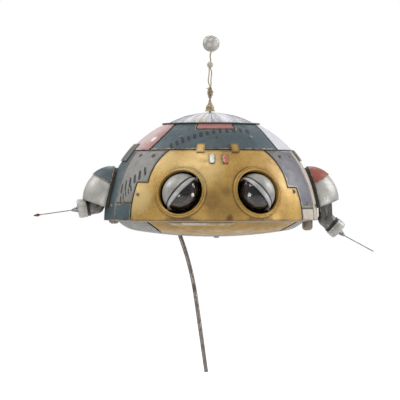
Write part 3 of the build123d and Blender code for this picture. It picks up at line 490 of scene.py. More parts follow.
def make_steel(name, light, shade, streak_along):
    """Drawn steel, with long scratches along one axis and patches of tarnish."""
    bench = start_material(name)
    place = bench.place()
    stretch = [1.0, 1.0, 1.0]
    stretch["xyz".index(streak_along)] = SCRATCH_STRETCH
    drawn = bench.put("ShaderNodeMapping", None, {"Vector": place, "Scale": stretch}).outputs[0]
    scratches = bench.cloud(drawn, 0.35, 3.0, 0.7)
    tarnish = bench.step(bench.cloud(place, 9.0, 5.0, 0.65), 0.42, 0.66)
    tint = bench.blend(tarnish, light, shade)
    tint = bench.blend(bench.step(scratches, 0.35, 0.7, 0.0, 0.5), tint, tinted(shade, 0.6))
    inputs = {
        "Base Color": tint, "Roughness": bench.between(tarnish, 0.26, 0.5),
        "Metallic": bench.between(tarnish, 1.0, 0.75),
    }
    end_material(bench, inputs, scratches, 0.05, 0.6)


def make_cap_metal():
    """Spun cap, with streaks that run out from the mast and a yellowed patch."""
    bench = start_material("cap_metal")
    middle = Box("cap").middle
    streaks = bench.use("radial_streaks", {"Axis Point": middle, "Count": 150.0, "Length": 30.0})
    wide = bench.step(streaks["Value"], 0.34, 0.66)
    tint = bench.blend(wide, (0.26, 0.26, 0.28, 1), (0.64, 0.64, 0.67, 1))
    fine = bench.step(streaks["Fine"], 0.3, 0.72, 0.0, 0.45)
    tint = bench.blend(fine, tint, (0.20, 0.19, 0.23, 1))
    tint = bench.spotted(tint, middle + YELLOW_AT * MM, 7.0, (0.50, 0.42, 0.24, 1), 0.55)
    inputs = {"Base Color": tint, "Roughness": bench.between(wide, 0.5, 0.3), "Metallic": 0.45}
    end_material(bench, inputs, streaks["Fine"], 0.12, 0.7)


def make_lens_glass():
    """Clear, slightly smoky glass with faint dust."""
    bench = start_material("glass")
    place = bench.place()
    dust = bench.step(bench.cloud(place, 2.2, 5.0, 0.7), 0.55, 0.8)
    inputs = {
        "Base Color": bench.blend(dust, (0.80, 0.76, 0.72, 1), (0.70, 0.64, 0.58, 1)),
        "Roughness": bench.between(dust, 0.03, 0.1), "Transmission Weight": 1.0, "IOR": 1.4,
        "Metallic": 0.0, "Coat Weight": 0.5, "Coat Roughness": 0.07,
    }
    end_material(bench, inputs, bench.cloud(place, 1.2, 2.0, 0.5), 0.002, 0.1)


def make_iris(side, colours):
    """Eye interior: near-black pupil, brown iris with fine spokes and painted light on its low part, dark rim."""
    bench = start_material(f"{side}_iris")
    eye = EyeFrame(side)
    across, up = bench.along_axes(eye.origin, eye.across, eye.up)
    flat = bench.join(across, up)
    reach = bench.vector("LENGTH", flat)[1]
    spokes = bench.noise(bench.vector("NORMALIZE", flat)[0], 9.0, 4.0, 0.7)
    tint = bench.blend(bench.step(spokes, 0.3, 0.7), tinted(colours.iris, 0.65), tinted(colours.iris))
    # painted light: the lower part of the iris is painted paler
    painted_low_light = bench.times(bench.step(up, PAINTED_LOW_LIGHT[0] * MM, PAINTED_LOW_LIGHT[1] * MM), 0.22)
    tint = bench.blend(painted_low_light, tint, tinted(colours.bone, 0.25))
    pupil = bench.step(reach, PUPIL_R[0] * MM, PUPIL_R[1] * MM)
    tint = bench.blend(pupil, tint, (0.006, 0.005, 0.004, 1))
    rim = bench.step(reach, IRIS_RIM_R[0] * MM, IRIS_RIM_R[1] * MM)
    tint = bench.blend(rim, tint, (0.012, 0.009, 0.007, 1))
    inputs = {"Base Color": tint, "Roughness": bench.between(pupil, 0.42, 0.22)}
    end_material(bench, inputs, spokes, 0.1, 0.5)


def lid_band(side, eye):
    """The direction from an eyelid's raised band to its crown, and where the band starts and ends."""
    mesh = merged(f"{side}_eyelid")
    points = [vert.co - eye.origin for vert in mesh.verts]
    mesh.free()
    band = [point for point in points if point.length > LID_BAND_R * MM]
    hinge = Vector(JOINTS[f"{side}_lid_hinge"]["axis"]).normalized()
    across = hinge.cross(sum(band, Vector())).normalized()
    if sum(points, Vector()).dot(across) < 0:
        across = -across
    places = [point.dot(across) for point in band]
    return across, min(places), max(places)


def make_lid(side, colours, silver):
    """Silver eyelid paint with a pale band, and a painted shadow line along the band's border with the crown."""
    eye = EyeFrame(side)
    across, low, high = lid_band(side, eye)
    bench = start_material(f"{side}_lid")
    worn = bench.use("worn_paint", silver)
    place = bench.along_axes(eye.origin, across)[0]
    half = (high - low) / 2
    on_band = bench.math("ABSOLUTE", bench.less(place, (low + high) / 2))
    pale = bench.times(bench.step(on_band, half, 0.8 * half), 0.45)
    shade = bench.blend(pale, worn["Color"], tinted(colours.pale))
    # painted shadow: a dark line along the band's border, where the lid's edge would shade the band
    away = bench.math("ABSOLUTE", bench.less(place, high))
    line = bench.step(away, LID_SHADOW_LINE[0] * MM, LID_SHADOW_LINE[1] * MM)
    shade = bench.blend(line, shade, tinted(colours.soot_and_shade, 0.6))
    end_worn(bench, worn, bench.blend(1.0, shade, (0.80, 0.80, 0.80, 1), "MULTIPLY"))


def make_lamp(name, body, deep):
    """Moulded lamp lens with scuffs."""
    bench = start_material(name)
    place = bench.place()
    scuff = bench.step(bench.cloud(place, 1.4, 5.0, 0.7), 0.48, 0.7)
    inputs = {
        "Base Color": bench.blend(scuff, body, deep), "Roughness": bench.between(scuff, 0.22, 0.5),
        "Coat Weight": 0.5, "Subsurface Weight": 0.15, "Subsurface Scale": 1.5 * MM,
    }
    end_material(bench, inputs, bench.cloud(place, 0.8, 3.0, 0.6), 0.06, 0.6)


# ---------------------------------------------------------------- mesh building
MERGE = 1e-6                 # m, nearer points are made one
ON_SHELL = 0.006 * MM        # how far off a shell a point that lies on it may be
NEW_ON_SHELL = 0.12 * MM     # the same for the middle of a split edge
SHARP = math.radians(38)
REFINE_ROUNDS = 7
WIDE_DENTS = 55              # noise scales of the dents, per metre
SMALL_DENTS = 160
SCREW_ROUND = 24             # sides of the lathe pieces
SMALL_ROUND = 40
GUN_ROUND = 72
EYE_ROUND = 96
BEZEL_ROUND = 128


class Shell:
    """A sphere or egg shape that faces of a piece lie on."""

    def __init__(self, centre, radii, turn=None):
        self.centre = centre
        self.radii = radii
        self.turn = turn or Matrix.Identity(3)
        self.back = self.turn.transposed()

    def ratio(self, point):
        local = self.back @ (point - self.centre)
        return math.sqrt(sum((local[k] / self.radii[k]) ** 2 for k in range(3)))

    def off(self, point):
        return abs(self.ratio(point) - 1) * min(self.radii)

    def drop(self, point):
        return self.centre + (point - self.centre) / self.ratio(point)


def ball(radius, centre=None):
    return Shell(centre or CENTRE, (radius, radius, radius))


def merged(node):
    """A CAD node's triangles, joined."""
    mesh = bmesh.new()
    mesh.from_mesh(frame["nodes"][node].data)
    bmesh.ops.remove_doubles(mesh, verts=mesh.verts, dist=MERGE)
    bmesh.ops.dissolve_degenerate(mesh, edges=mesh.edges, dist=MERGE)
    return mesh


def refine(mesh, shells, step):
    """Splits long edges of the faces that lie on a shell, and drops the new points onto it."""
    for _ in range(REFINE_ROUNDS):
        on = {v: {k for k, shell in enumerate(shells) if shell.off(v.co) < ON_SHELL} for v in mesh.verts}
        long_edges = []
        for edge in mesh.edges:
            if edge.calc_length() <= step:
                continue
            if any(set.intersection(*(on[v] for v in face.verts)) for face in edge.link_faces):
                long_edges.append(edge)
        if not long_edges:
            break
        split = bmesh.ops.subdivide_edges(mesh, edges=long_edges, cuts=1)
        for item in split["geom_inner"]:
            if isinstance(item, bmesh.types.BMVert):
                closest = min(shells, key=lambda shell: shell.off(item.co))
                if closest.off(item.co) < NEW_ON_SHELL:
                    item.co = closest.drop(item.co)
        bmesh.ops.triangulate(mesh, faces=[face for face in mesh.faces if len(face.verts) > 3])


def edge_nearness(mesh, band):
    """For each point, 1 on a sharp edge, falling to 0 at the band's width."""
    spots = []
    for edge in mesh.edges:
        if edge.is_boundary or edge.calc_face_angle(0) > SHARP:
            first, last = edge.verts[0].co, edge.verts[1].co
            pieces = max(1, int((last - first).length / MM))
            spots += [first.lerp(last, k / pieces) for k in range(pieces + 1)]
    tree = kdtree.KDTree(len(spots))
    for k, spot in enumerate(spots):
        tree.insert(spot, k)
    tree.balance()
    return [max(0.0, 1 - tree.find(v.co)[2] / band) for v in mesh.verts]


def dent(mesh, nearness, shell, depth, seed):
    """Presses shallow dents into a shell, away from the piece's edges."""
    shift = Vector((seed * 3.7, seed * 1.3, seed * 2.1))
    for v, near in zip(mesh.verts, nearness):
        if shell.off(v.co) > ON_SHELL:
            continue
        wave = noise.noise(v.co * WIDE_DENTS + shift) + 0.5 * noise.noise(v.co * SMALL_DENTS + shift)
        v.co += (shell.centre - v.co).normalized() * depth * max(0.0, wave) * (1 - near)


def to_data(mesh, name):
    """Mesh data from a finished bmesh."""
    data = bpy.data.meshes.new(name)
    mesh.to_mesh(data)
    mesh.free()
    return data


def link_object(name, data):
    item = bpy.data.objects.new(name, data)
    bpy.context.scene.collection.objects.link(item)
    return item


def add_object(name, mesh, material):
    mesh.name = name
    mesh.materials.clear()
    mesh.materials.append(MATERIALS[material])
    return link_object(name, mesh)


def smooth(mesh):
    mesh.shade_smooth()
    mesh.set_sharp_from_angle(angle=SHARP)


def smooth_piece(name, mesh, material):
    """A smooth-shaded piece from a finished bmesh."""
    data = to_data(mesh, name)
    smooth(data)
    return add_object(name, data, material)


def round_edges(item, width):
    bevel = item.modifiers.new("rounded_edges", "BEVEL")
    bevel.width = width
    bevel.segments = 2
    bevel.limit_method = "ANGLE"
    bevel.angle_limit = SHARP
    bevel.harden_normals = True


def settle(item, nodes=(), body="saucer"):
    """Puts a finished piece on its body, and hides the CAD nodes that it stands for."""
    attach(item, body)
    if nodes:
        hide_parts(*nodes)


def worn_copy(node, material, shells=(), step=None, dents=None, edge=None):
    """A finished copy of a CAD node: finer on its curved faces and dented. edge is its rounding in mm."""
    sizes = bpy.context.scene.saucer_sizes
    mesh = merged(node)
    nearness = None
    if shells:
        refine(mesh, shells, step or sizes.skin_step)
        nearness = edge_nearness(mesh, sizes.worn_band)
        if dents is not None:
            dent(mesh, nearness, shells[0], sizes.dent_depth, dents)
    data = to_data(mesh, node)
    if nearness:
        layer = data.attributes.new("near_edge", "FLOAT", "POINT")
        layer.data.foreach_set("value", nearness)
    smooth(data)
    item = add_object(f"{node}_finished", data, material)
    round_edges(item, sizes.edge_round if edge is None else edge * MM)
    settle(item, [node], body_of(node))


def worn_copies(edge, **materials):
    """Finished copies of several CAD nodes, each with its material."""
    for node, material in materials.items():
        worn_copy(node, material, edge=edge)


def lathe(name, outline, origin, axis, material, segments=GUN_ROUND, closed=False):
    """Turns an outline of (radius, height) in metres about an axis. A radius of 0 closes an end."""
    turn = axis.normalized().to_track_quat("Z", "Y").to_matrix()
    mesh = bmesh.new()
    rows = []
    for radius, height in outline:
        row = []
        for k in range(1 if radius < MERGE else segments):
            angle = 2 * math.pi * k / segments
            local = Vector((radius * math.cos(angle), radius * math.sin(angle), height))
            row.append(mesh.verts.new(origin + turn @ local))
        rows.append(row)
    pairs = list(zip(rows, rows[1:]))
    if closed:
        pairs.append((rows[-1], rows[0]))
    for low, high in pairs:
        if len(low) == len(high) == 1:
            continue
        for k in range(segments):
            after = (k + 1) % segments
            corners = [low[k % len(low)], low[after % len(low)], high[after % len(high)], high[k % len(high)]]
            mesh.faces.new(list(dict.fromkeys(corners)))
    bmesh.ops.recalc_face_normals(mesh, faces=mesh.faces)
    return smooth_piece(name, mesh, material)


def sized(outline, wide, tall=None):
    """An outline with its radii and heights times a size each."""
    return [(r * wide, z * (wide if tall is None else tall)) for r, z in outline]


def square_bar(name, rows):
    """A closed bar through rows of four corners, as a template for set_pieces."""
    mesh = bmesh.new()
    rings = [[mesh.verts.new(corner) for corner in row] for row in rows]
    for low, high in zip(rings, rings[1:]):
        for k in range(4):
            mesh.faces.new((low[k], low[(k + 1) % 4], high[(k + 1) % 4], high[k]))
    mesh.faces.new(rings[0])
    mesh.faces.new(list(reversed(rings[-1])))
    bmesh.ops.recalc_face_normals(mesh, faces=mesh.faces)
    return link_object(name, to_data(mesh, name))


def wire(name, points, radius, material, sides=4):
    """A round wire through the points."""
    curve = bpy.data.curves.new(name, "CURVE")
    curve.dimensions = "3D"
    curve.bevel_depth = radius
    curve.bevel_resolution = sides
    curve.use_fill_caps = True
    line = curve.splines.new("POLY")
    line.points.add(len(points) - 1)
    for point, place in zip(line.points, points):
        point.co = (*place, 1)
    item = link_object(name, curve)
    mesh = bpy.data.meshes.new_from_object(item.evaluated_get(bpy.context.evaluated_depsgraph_get()))
    bpy.data.objects.remove(item)
    smooth(mesh)
    return add_object(name, mesh, material)


def joined(name, items, material):
    """Several plain pieces as one mesh."""
    mesh = bmesh.new()
    for item in items:
        mesh.from_mesh(item.data)
        bpy.data.objects.remove(item)
    return smooth_piece(name, mesh, material)


def make_setting_tree():
    """Geometry Nodes: sets one template piece on every point, stood along the point's own directions."""
    bench, take = new_tree(
        "set_on_points", "GeometryNodeTree",
        [
            ("Points", "Geometry", None), ("Template", "Object", None), ("Size", "Float", 1.0),
            ("Spin", "Float", 0.0), ("Seed", "Int", 1), ("Finish", "Material", None),
        ],
        [("Pieces", "Geometry")],
    )
    named = "GeometryNodeInputNamedAttribute"
    out, along, stretch = (
        bench.put(named, {"data_type": "FLOAT_VECTOR"}, {"Name": label}).outputs["Attribute"]
        for label in ("out", "along", "stretch")
    )
    align = "FunctionNodeAlignRotationToVector"
    stood = bench.put(align, {"axis": "Z"}, {"Vector": out}).outputs[0]
    settings = {"axis": "X", "pivot_axis": "Z"}
    turned = bench.put(align, settings, {"Rotation": stood, "Vector": along}).outputs[0]
    drawn = bench.put("FunctionNodeRandomValue", {"data_type": "FLOAT"})
    for key, value in (("Max", take["Spin"]), ("Seed", take["Seed"])):
        socket = [s for s in drawn.inputs if s.name == key and s.enabled][0]
        bench.tree.links.new(value, socket)
    spin = [s for s in drawn.outputs if s.enabled][0]
    spin_turn = bench.put("FunctionNodeEulerToRotation", None, {0: bench.join(0.0, 0.0, spin)}).outputs[0]
    settings = {"rotation_space": "LOCAL"}
    final = bench.put("FunctionNodeRotateRotation", settings, {0: turned, 1: spin_turn}).outputs[0]
    template = bench.put("GeometryNodeObjectInfo", None, {"Object": take["Template"]}).outputs["Geometry"]
    inputs = {
        "Points": take["Points"], "Instance": template, "Rotation": final,
        "Scale": bench.scaled(stretch, take["Size"]),
    }
    placed = bench.put("GeometryNodeInstanceOnPoints", None, inputs).outputs[0]
    real = bench.put("GeometryNodeRealizeInstances", None, {0: placed}).outputs[0]
    inputs = {"Geometry": real, "Material": take["Finish"]}
    return bench.end_group({0: bench.put("GeometryNodeSetMaterial", None, inputs).outputs[0]})


def set_pieces(name, rows, template, material, spin=0.0, seed=1):
    """Sets the template on each row of (point, out, along, stretch) and returns one plain piece."""
    tree = tree_named("set_on_points")
    mesh = bpy.data.meshes.new(name)
    mesh.from_pydata([row[0] for row in rows], [], [])
    for column, label in ((1, "out"), (2, "along"), (3, "stretch")):
        layer = mesh.attributes.new(label, "FLOAT_VECTOR", "POINT")
        for k, row in enumerate(rows):
            layer.data[k].vector = row[column]
    holder = link_object(name, mesh)
    setter = holder.modifiers.new("set_on_points", "NODES")
    setter.node_group = tree
    values = {"Template": template, "Size": 1.0, "Spin": spin, "Seed": seed, "Finish": MATERIALS[material]}
    for socket in tree.interface.items_tree:
        if socket.in_out == "INPUT" and socket.name in values:
            setter[socket.identifier] = values[socket.name]
    depsgraph = bpy.context.evaluated_depsgraph_get()
    data = bpy.data.meshes.new_from_object(holder.evaluated_get(depsgraph))
    bpy.data.objects.remove(holder)
    bpy.data.objects.remove(template)
    if not data.polygons:
        raise RuntimeError(f"{name}: nothing was set")
    smooth(data)
    return add_object(name, data, material)


class EyeFrame:
    """An eye's own directions: forward out of the eye, across to the right, and up."""

    def __init__(self, side):
        self.origin = Vector(JOINTS[f"{side}_lid_hinge"]["pos_m"])
        self.forward = (self.origin - CENTRE).normalized()
        self.across = Vector((-self.forward.y, self.forward.x, 0)).normalized()
        self.up = self.forward.cross(self.across)


def spread(node, origin, axis, reach=1.0):
    """Lowest and highest place along an axis, and the least and greatest distance from it, in metres."""
    heights, widths = [], []
    for v in frame["nodes"][node].data.vertices:
        local = v.co - origin
        height = local.dot(axis)
        width = (local - axis * height).length
        if width < reach:
            heights.append(height)
            widths.append(width)
    return min(heights), max(heights), min(widths), max(widths)


# ---------------------------------------------------------------- pieces
SKIN_PANELS = [node for node in SLOTS if node.endswith("_panel")] + ["face_plate"]


class SAUCER_OT_finishes(bpy.types.Operator):
    """Make the painted, metal and glass finishes"""
    bl_idname = "saucer.finishes"
    bl_label = "Finishes"

    def execute(self, context):
        colours = context.scene.saucer_colours
        paints = paint_values(colours)
        for name, values in paints.items():
            make_paint(name, values)
        for steel in STEELS:
            make_steel(*steel)
        for lamp in LAMPS:
            make_lamp(*lamp)
        make_cap_metal()
        make_lens_glass()
        for side, _ in SIDES:
            make_iris(side, colours)
            make_lid(side, colours, paints["silver"])
        return {"FINISHED"}


class SAUCER_OT_skin(bpy.types.Operator):
    """Make the patchwork skin panels and the face plate"""
    bl_idname = "saucer.skin"
    bl_label = "Skin panels"

    def execute(self, context):
        for seed, node in enumerate(sorted(SKIN_PANELS)):
            worn_copy(node, SLOTS[node], [ball(SKIN_R)], dents=seed)
        return {"FINISHED"}


BAR_CUTS = 6                 # pieces along a bar, so that it can bend over the skin
BAR_CORNER = 0.3             # share of a bar's width that its corners are cut back
BAR_WOBBLE = 4.0             # degrees that a bar's slant may differ
BAR_SEED = 11
BAR_TALL = 1.0               # mm, before the bars are laid on the skin
BAR_SUNK = 0.3               # mm that their undersides lie in the skin


def bar_template(long_side, short_side):
    """A flat bar with cut corners."""
    rows = []
    for k in range(BAR_CUTS + 1):
        y = -long_side / 2 + long_side * k / BAR_CUTS
        half = short_side / 2 - (short_side * BAR_CORNER if k in (0, BAR_CUTS) else 0)
        tall = BAR_TALL * MM
        rows.append([(-half, y, 0), (half, y, 0), (half, y, tall), (-half, y, tall)])
    return square_bar("bar", rows)


class BarRow:
    """A row of slanted bars along an arc on the skin, given by azimuths and elevations."""

    def __init__(self, name, material, stops, count, long_side, short_side, slant):
        self.name, self.material, self.count = name, material, count
        self.stops = [out_at(*stop) for stop in stops]
        self.long_side, self.short_side, self.slant = long_side * MM, short_side * MM, slant

    def at(self, share):
        first, middle, last = self.stops
        control = middle * 2 - (first + last) / 2
        place = first * (1 - share) ** 2 + control * 2 * share * (1 - share) + last * share ** 2
        return place.normalized()

    def rows(self, rng):
        found = []
        for k in range(self.count):
            share = k / (self.count - 1)
            out = self.at(share)
            along = self.at(share + 0.01) - self.at(share - 0.01)
            along = (along - out * along.dot(out)).normalized()
            slant = self.slant + rng.uniform(-BAR_WOBBLE, BAR_WOBBLE)
            slanted = Matrix.Rotation(math.radians(slant), 3, out) @ along
            stretch = Vector((rng.uniform(0.8, 1.2), rng.uniform(0.86, 1.05), 1))
            found.append((CENTRE + out * SKIN_R, out, slanted, stretch))
        return found


BAR_ROWS = (
    # name, finish, the arc's start, middle and end, count, length and width in mm, slant in degrees
    BarRow("top_bars", "ink_on_teal", ((-34.5, 43.2), (-8.1, 53.3), (31, 55.3)), 13, 6.6, 2.5, -12),
    BarRow("cheek_bars", "ink", ((-63.5, 17.2), (-55.3, 21.6), (-47.0, 27.0)), 6, 9.6, 2.3, -16),
    BarRow("cheek_small_bars", "ink", ((-62.3, 11.6), (-58.2, 14.4), (-54.6, 17.3)), 5, 5.4, 1.5, -16),
)


class SAUCER_OT_bars(bpy.types.Operator):
    """Stencil the rows of slanted bars on the skin"""
    bl_idname = "saucer.bars"
    bl_label = "Stencilled bars"

    def execute(self, context):
        proud = context.scene.saucer_sizes.mark_proud
        rng = random.Random(BAR_SEED)
        for row in BAR_ROWS:
            template = bar_template(row.long_side, row.short_side)
            item = set_pieces(row.name, row.rows(rng), template, row.material)
            for v in item.data.vertices:
                out = v.co - CENTRE
                top = out.length > SKIN_R + BAR_TALL / 2 * MM
                v.co = CENTRE + out.normalized() * (SKIN_R + (proud if top else -BAR_SUNK * MM))
            settle(item)
        return {"FINISHED"}


FITTING_UNDER = 0.1          # mm over the skin, of the undersides of tabs and latches
TAB_TOP = 1.1
LATCH_TOP = 1.4
LAMP_RIM = ((2.5, -0.2), (2.5, 0.35), (2.2, 0.5), (1.9, 0.35), (1.9, -0.2))
LAMP_RIM_SHAPE = (0.92, 1.78, 1)    # how the round rim is squeezed across and stretched up


class SAUCER_OT_face_fittings(bpy.types.Operator):
    """Make the gold tabs, the two lamps and the shoulder latches"""
    bl_idname = "saucer.face_fittings"
    bl_label = "Face fittings"

    def execute(self, context):
        step = context.scene.saucer_sizes.small_step
        for node, material, top in (("face_tabs", "gold", TAB_TOP), ("side_latches", "gunmetal", LATCH_TOP)):
            worn_copy(node, material, [ball(SKIN_R + above * MM) for above in (top, FITTING_UNDER)], step)
        for side, lamp in (("left", "white_lamp"), ("right", "copper_lamp")):
            worn_copy(f"{side}_indicator", lamp, edge=0.5)
            self.lamp_rim(side)
        return {"FINISHED"}

    def lamp_rim(self, side):
        out = (Box(f"{side}_indicator").middle - CENTRE).normalized()
        across = Vector((-out.y, out.x, 0)).normalized()
        turn = Matrix((across, out.cross(across), out)).transposed()
        shape = Matrix.Diagonal(Vector(LAMP_RIM_SHAPE))
        name = f"{side}_lamp_rim"
        ring = lathe(name, sized(LAMP_RIM, MM), Vector(), UP, "gunmetal", SMALL_ROUND, closed=True)
        for v in ring.data.vertices:
            v.co = CENTRE + out * SKIN_R + turn @ (shape @ v.co)
        settle(ring)


def islands(node):
    """Points of each separate solid in a CAD node."""
    mesh = merged(node)
    left = set(mesh.verts)
    found = []
    for start in mesh.verts:
        if start not in left:
            continue
        left.remove(start)
        island = [start]
        for v in island:
            for edge in v.link_edges:
                other = edge.other_vert(v)
                if other in left:
                    left.remove(other)
                    island.append(other)
        found.append([v.co.copy() for v in island])
    mesh.free()
    return found


# radius and height as shares of the head's radius
SCREW_HEAD = ((0, 0.62), (0.45, 0.6), (0.8, 0.46), (0.97, 0.22), (1.0, 0.0), (1.0, -0.25), (0, -0.25))
SCREW_TALL = 0.9             # share that the head's heights are pressed to
SLOT_WIDE = 0.2              # half the slot's width, as a share of the head's radius
SLOT_FLOOR = 0.12            # height of the slot's floor, as such a share
SLOT_FROM = 0.05             # points above this height are in the slot
SCREW_PROUD = 0.1            # mm from the skin up to the head's foot
CATCH_DOWN = -0.5            # the catch is the one solid that lies further down than this
SCREW_SEED = 5
CATCH_SUNK = 1.6             # mm of the catch inside the belly


def screw_template(radius):
    """A domed screw head with a slot."""
    head = lathe("screw", sized(SCREW_HEAD, radius, radius * SCREW_TALL), Vector(), UP, "steel", SCREW_ROUND)
    for v in head.data.vertices:
        if abs(v.co.y) < SLOT_WIDE * radius and v.co.z > SLOT_FROM * radius:
            v.co.z = SLOT_FLOOR * radius
    return head


class SAUCER_OT_screws(bpy.types.Operator):
    """Set the slotted panel screws and the belly catch"""
    bl_idname = "saucer.screws"
    bl_label = "Panel screws"

    def execute(self, context):
        template = screw_template(context.scene.saucer_sizes.screw_head)
        rows = []
        catch = None
        for points in islands("panel_screws"):
            out = (sum(points, Vector()) / len(points) - CENTRE).normalized()
            if out.z < CATCH_DOWN:
                catch = points
                continue
            along = Vector((-out.y, out.x, 0)).normalized()
            rows.append((CENTRE + out * (SKIN_R + SCREW_PROUD * MM), out, along, Vector((1, 1, 1))))
        if catch is None or not rows:
            raise RuntimeError("the screws or the belly catch were not found")
        screws = set_pieces("screw_heads", rows, template, "steel", spin=math.pi, seed=SCREW_SEED)
        settle(screws, ["panel_screws"])
        self.belly_catch(catch)
        return {"FINISHED"}

    def belly_catch(self, points):
        """The belly's small round catch, with a ring pressed into its underside."""
        low = [min(p[k] for p in points) for k in range(3)]
        high = [max(p[k] for p in points) for k in range(3)]
        foot = Vector(((low[0] + high[0]) / 2, (low[1] + high[1]) / 2, low[2]))
        r = (high[0] - low[0]) / 2
        deep = high[2] - low[2] + CATCH_SUNK * MM
        outline = [(0, 0), (r * 0.5, 0), (r * 0.62, 0.35 * MM), (r * 0.8, 0.1 * MM), (r, 0.4 * MM)]
        outline += [(r, deep), (0, deep)]
        settle(lathe("belly_catch", outline, foot, UP, "gunmetal", SMALL_ROUND))


CAP_COARSER = 1.3            # times the small step
RIB_STEPS = 8
RIB_START = 0.52             # shares of the cap's radius between which the ribs run
RIB_LONG = 0.46
RIB_HALF = 0.32              # mm, half a rib's width at its middle
RIB_SUNK = 0.25              # mm
RIB_PROUD = 0.10
RIB_SEED = 3


class SAUCER_OT_cap(bpy.types.Operator):
    """Make the spun cap with its fine ribs, and the flange under it"""
    bl_idname = "saucer.cap"
    bl_label = "Cap"

    def execute(self, context):
        sizes = context.scene.saucer_sizes
        cap = Box("cap")
        reach, rise = cap.size.x / 2, cap.size.z
        dome_r = (reach ** 2 + rise ** 2) / (2 * rise)
        top = Vector((cap.middle.x, cap.middle.y, cap.high.z))
        worn_copy("cap", "cap_metal", [ball(dome_r, top - UP * dome_r)], sizes.small_step * CAP_COARSER)
        worn_copy("cap_flange", "gunmetal", edge=0.2)
        rng = random.Random(RIB_SEED)
        rows = []
        for k in range(sizes.ribs):
            angle = 2 * math.pi * (k + rng.uniform(-0.2, 0.2)) / sizes.ribs
            along = Vector((math.cos(angle), math.sin(angle), 0))
            rows.append((top, UP, along, Vector((1, rng.uniform(0.6, 1.2), 1))))
        settle(set_pieces("cap_ribs", rows, self.rib(reach, dome_r), "cap_metal"))
        return {"FINISHED"}

    def rib(self, reach, dome_r):
        """One rib down the dome, from the origin at its top."""
        rows = []
        for k in range(RIB_STEPS + 1):
            angle = math.asin(reach * (RIB_START + RIB_LONG * k / RIB_STEPS) / dome_r)
            x, z = dome_r * math.sin(angle), dome_r * math.cos(angle) - dome_r
            half = RIB_HALF * MM * math.sin(math.pi * (0.12 + 0.76 * k / RIB_STEPS))
            low, high = z - RIB_SUNK * MM, z + RIB_PROUD * MM
            rows.append([(x, -half, low), (x, half, low), (x, half / 2, high), (x, -half / 2, high)])
        return square_bar("rib", rows)


# the antenna's bell, as shares of its radius and height
BELL = (
    (0, 0), (1, 0), (1, 0.06), (0.93, 0.11), (0.80, 0.12), (0.82, 0.30), (0.76, 0.45), (0.60, 0.58),
    (0.42, 0.66), (0.44, 0.72), (0.34, 0.78), (0.30, 0.92), (0.27, 1), (0, 1),
)
WINDING_TURNS = 11
WINDING_POINTS = 14          # per turn
WINDING_R = (1.15, 0.75)     # mm from the mast at the ends, and how much further at the middle
WINDING_SEED = 8
# loose ends: degrees round the mast and share of the winding's height
TAILS = ((20, 0.62), (160, 0.7), (95, 0.4), (250, 0.55), (320, 0.35))
TAIL_POINTS = ((1.4, 0), (2.3, 0.5), (3.0, 0))      # mm out along the tail, and mm up
STRAND_STEPS = 24
STRAND_PAST = 0.6            # mm that the strands run on into the bead and the bell
STRAND_WANDER = (0.35, 0.3)  # mm
KNOT_LUMP = 0.22             # mm
KNOT_SCALE = 700             # noise scales of the lumps, per metre
BALL_SCALE = 230
STEM_R = 0.55                # mm
STEM_STEPS = 10
STEM_WANDER = 0.35           # mm


def lumpy_ball(name, middle, radius, depth, scale, material):
    """A round piece with lumps pressed into it, as on crumpled foil or a knot."""
    mesh = bmesh.new()
    bmesh.ops.create_icosphere(mesh, subdivisions=5, radius=radius)
    for v in mesh.verts:
        lump = noise.noise(v.co * scale) + 0.5 * noise.noise(v.co * scale * 2.3)
        v.co *= 1 - depth / radius * (0.55 + 0.55 * lump)
        v.co += middle
    data = to_data(mesh, name)
    data.shade_smooth()
    return add_object(name, data, material)


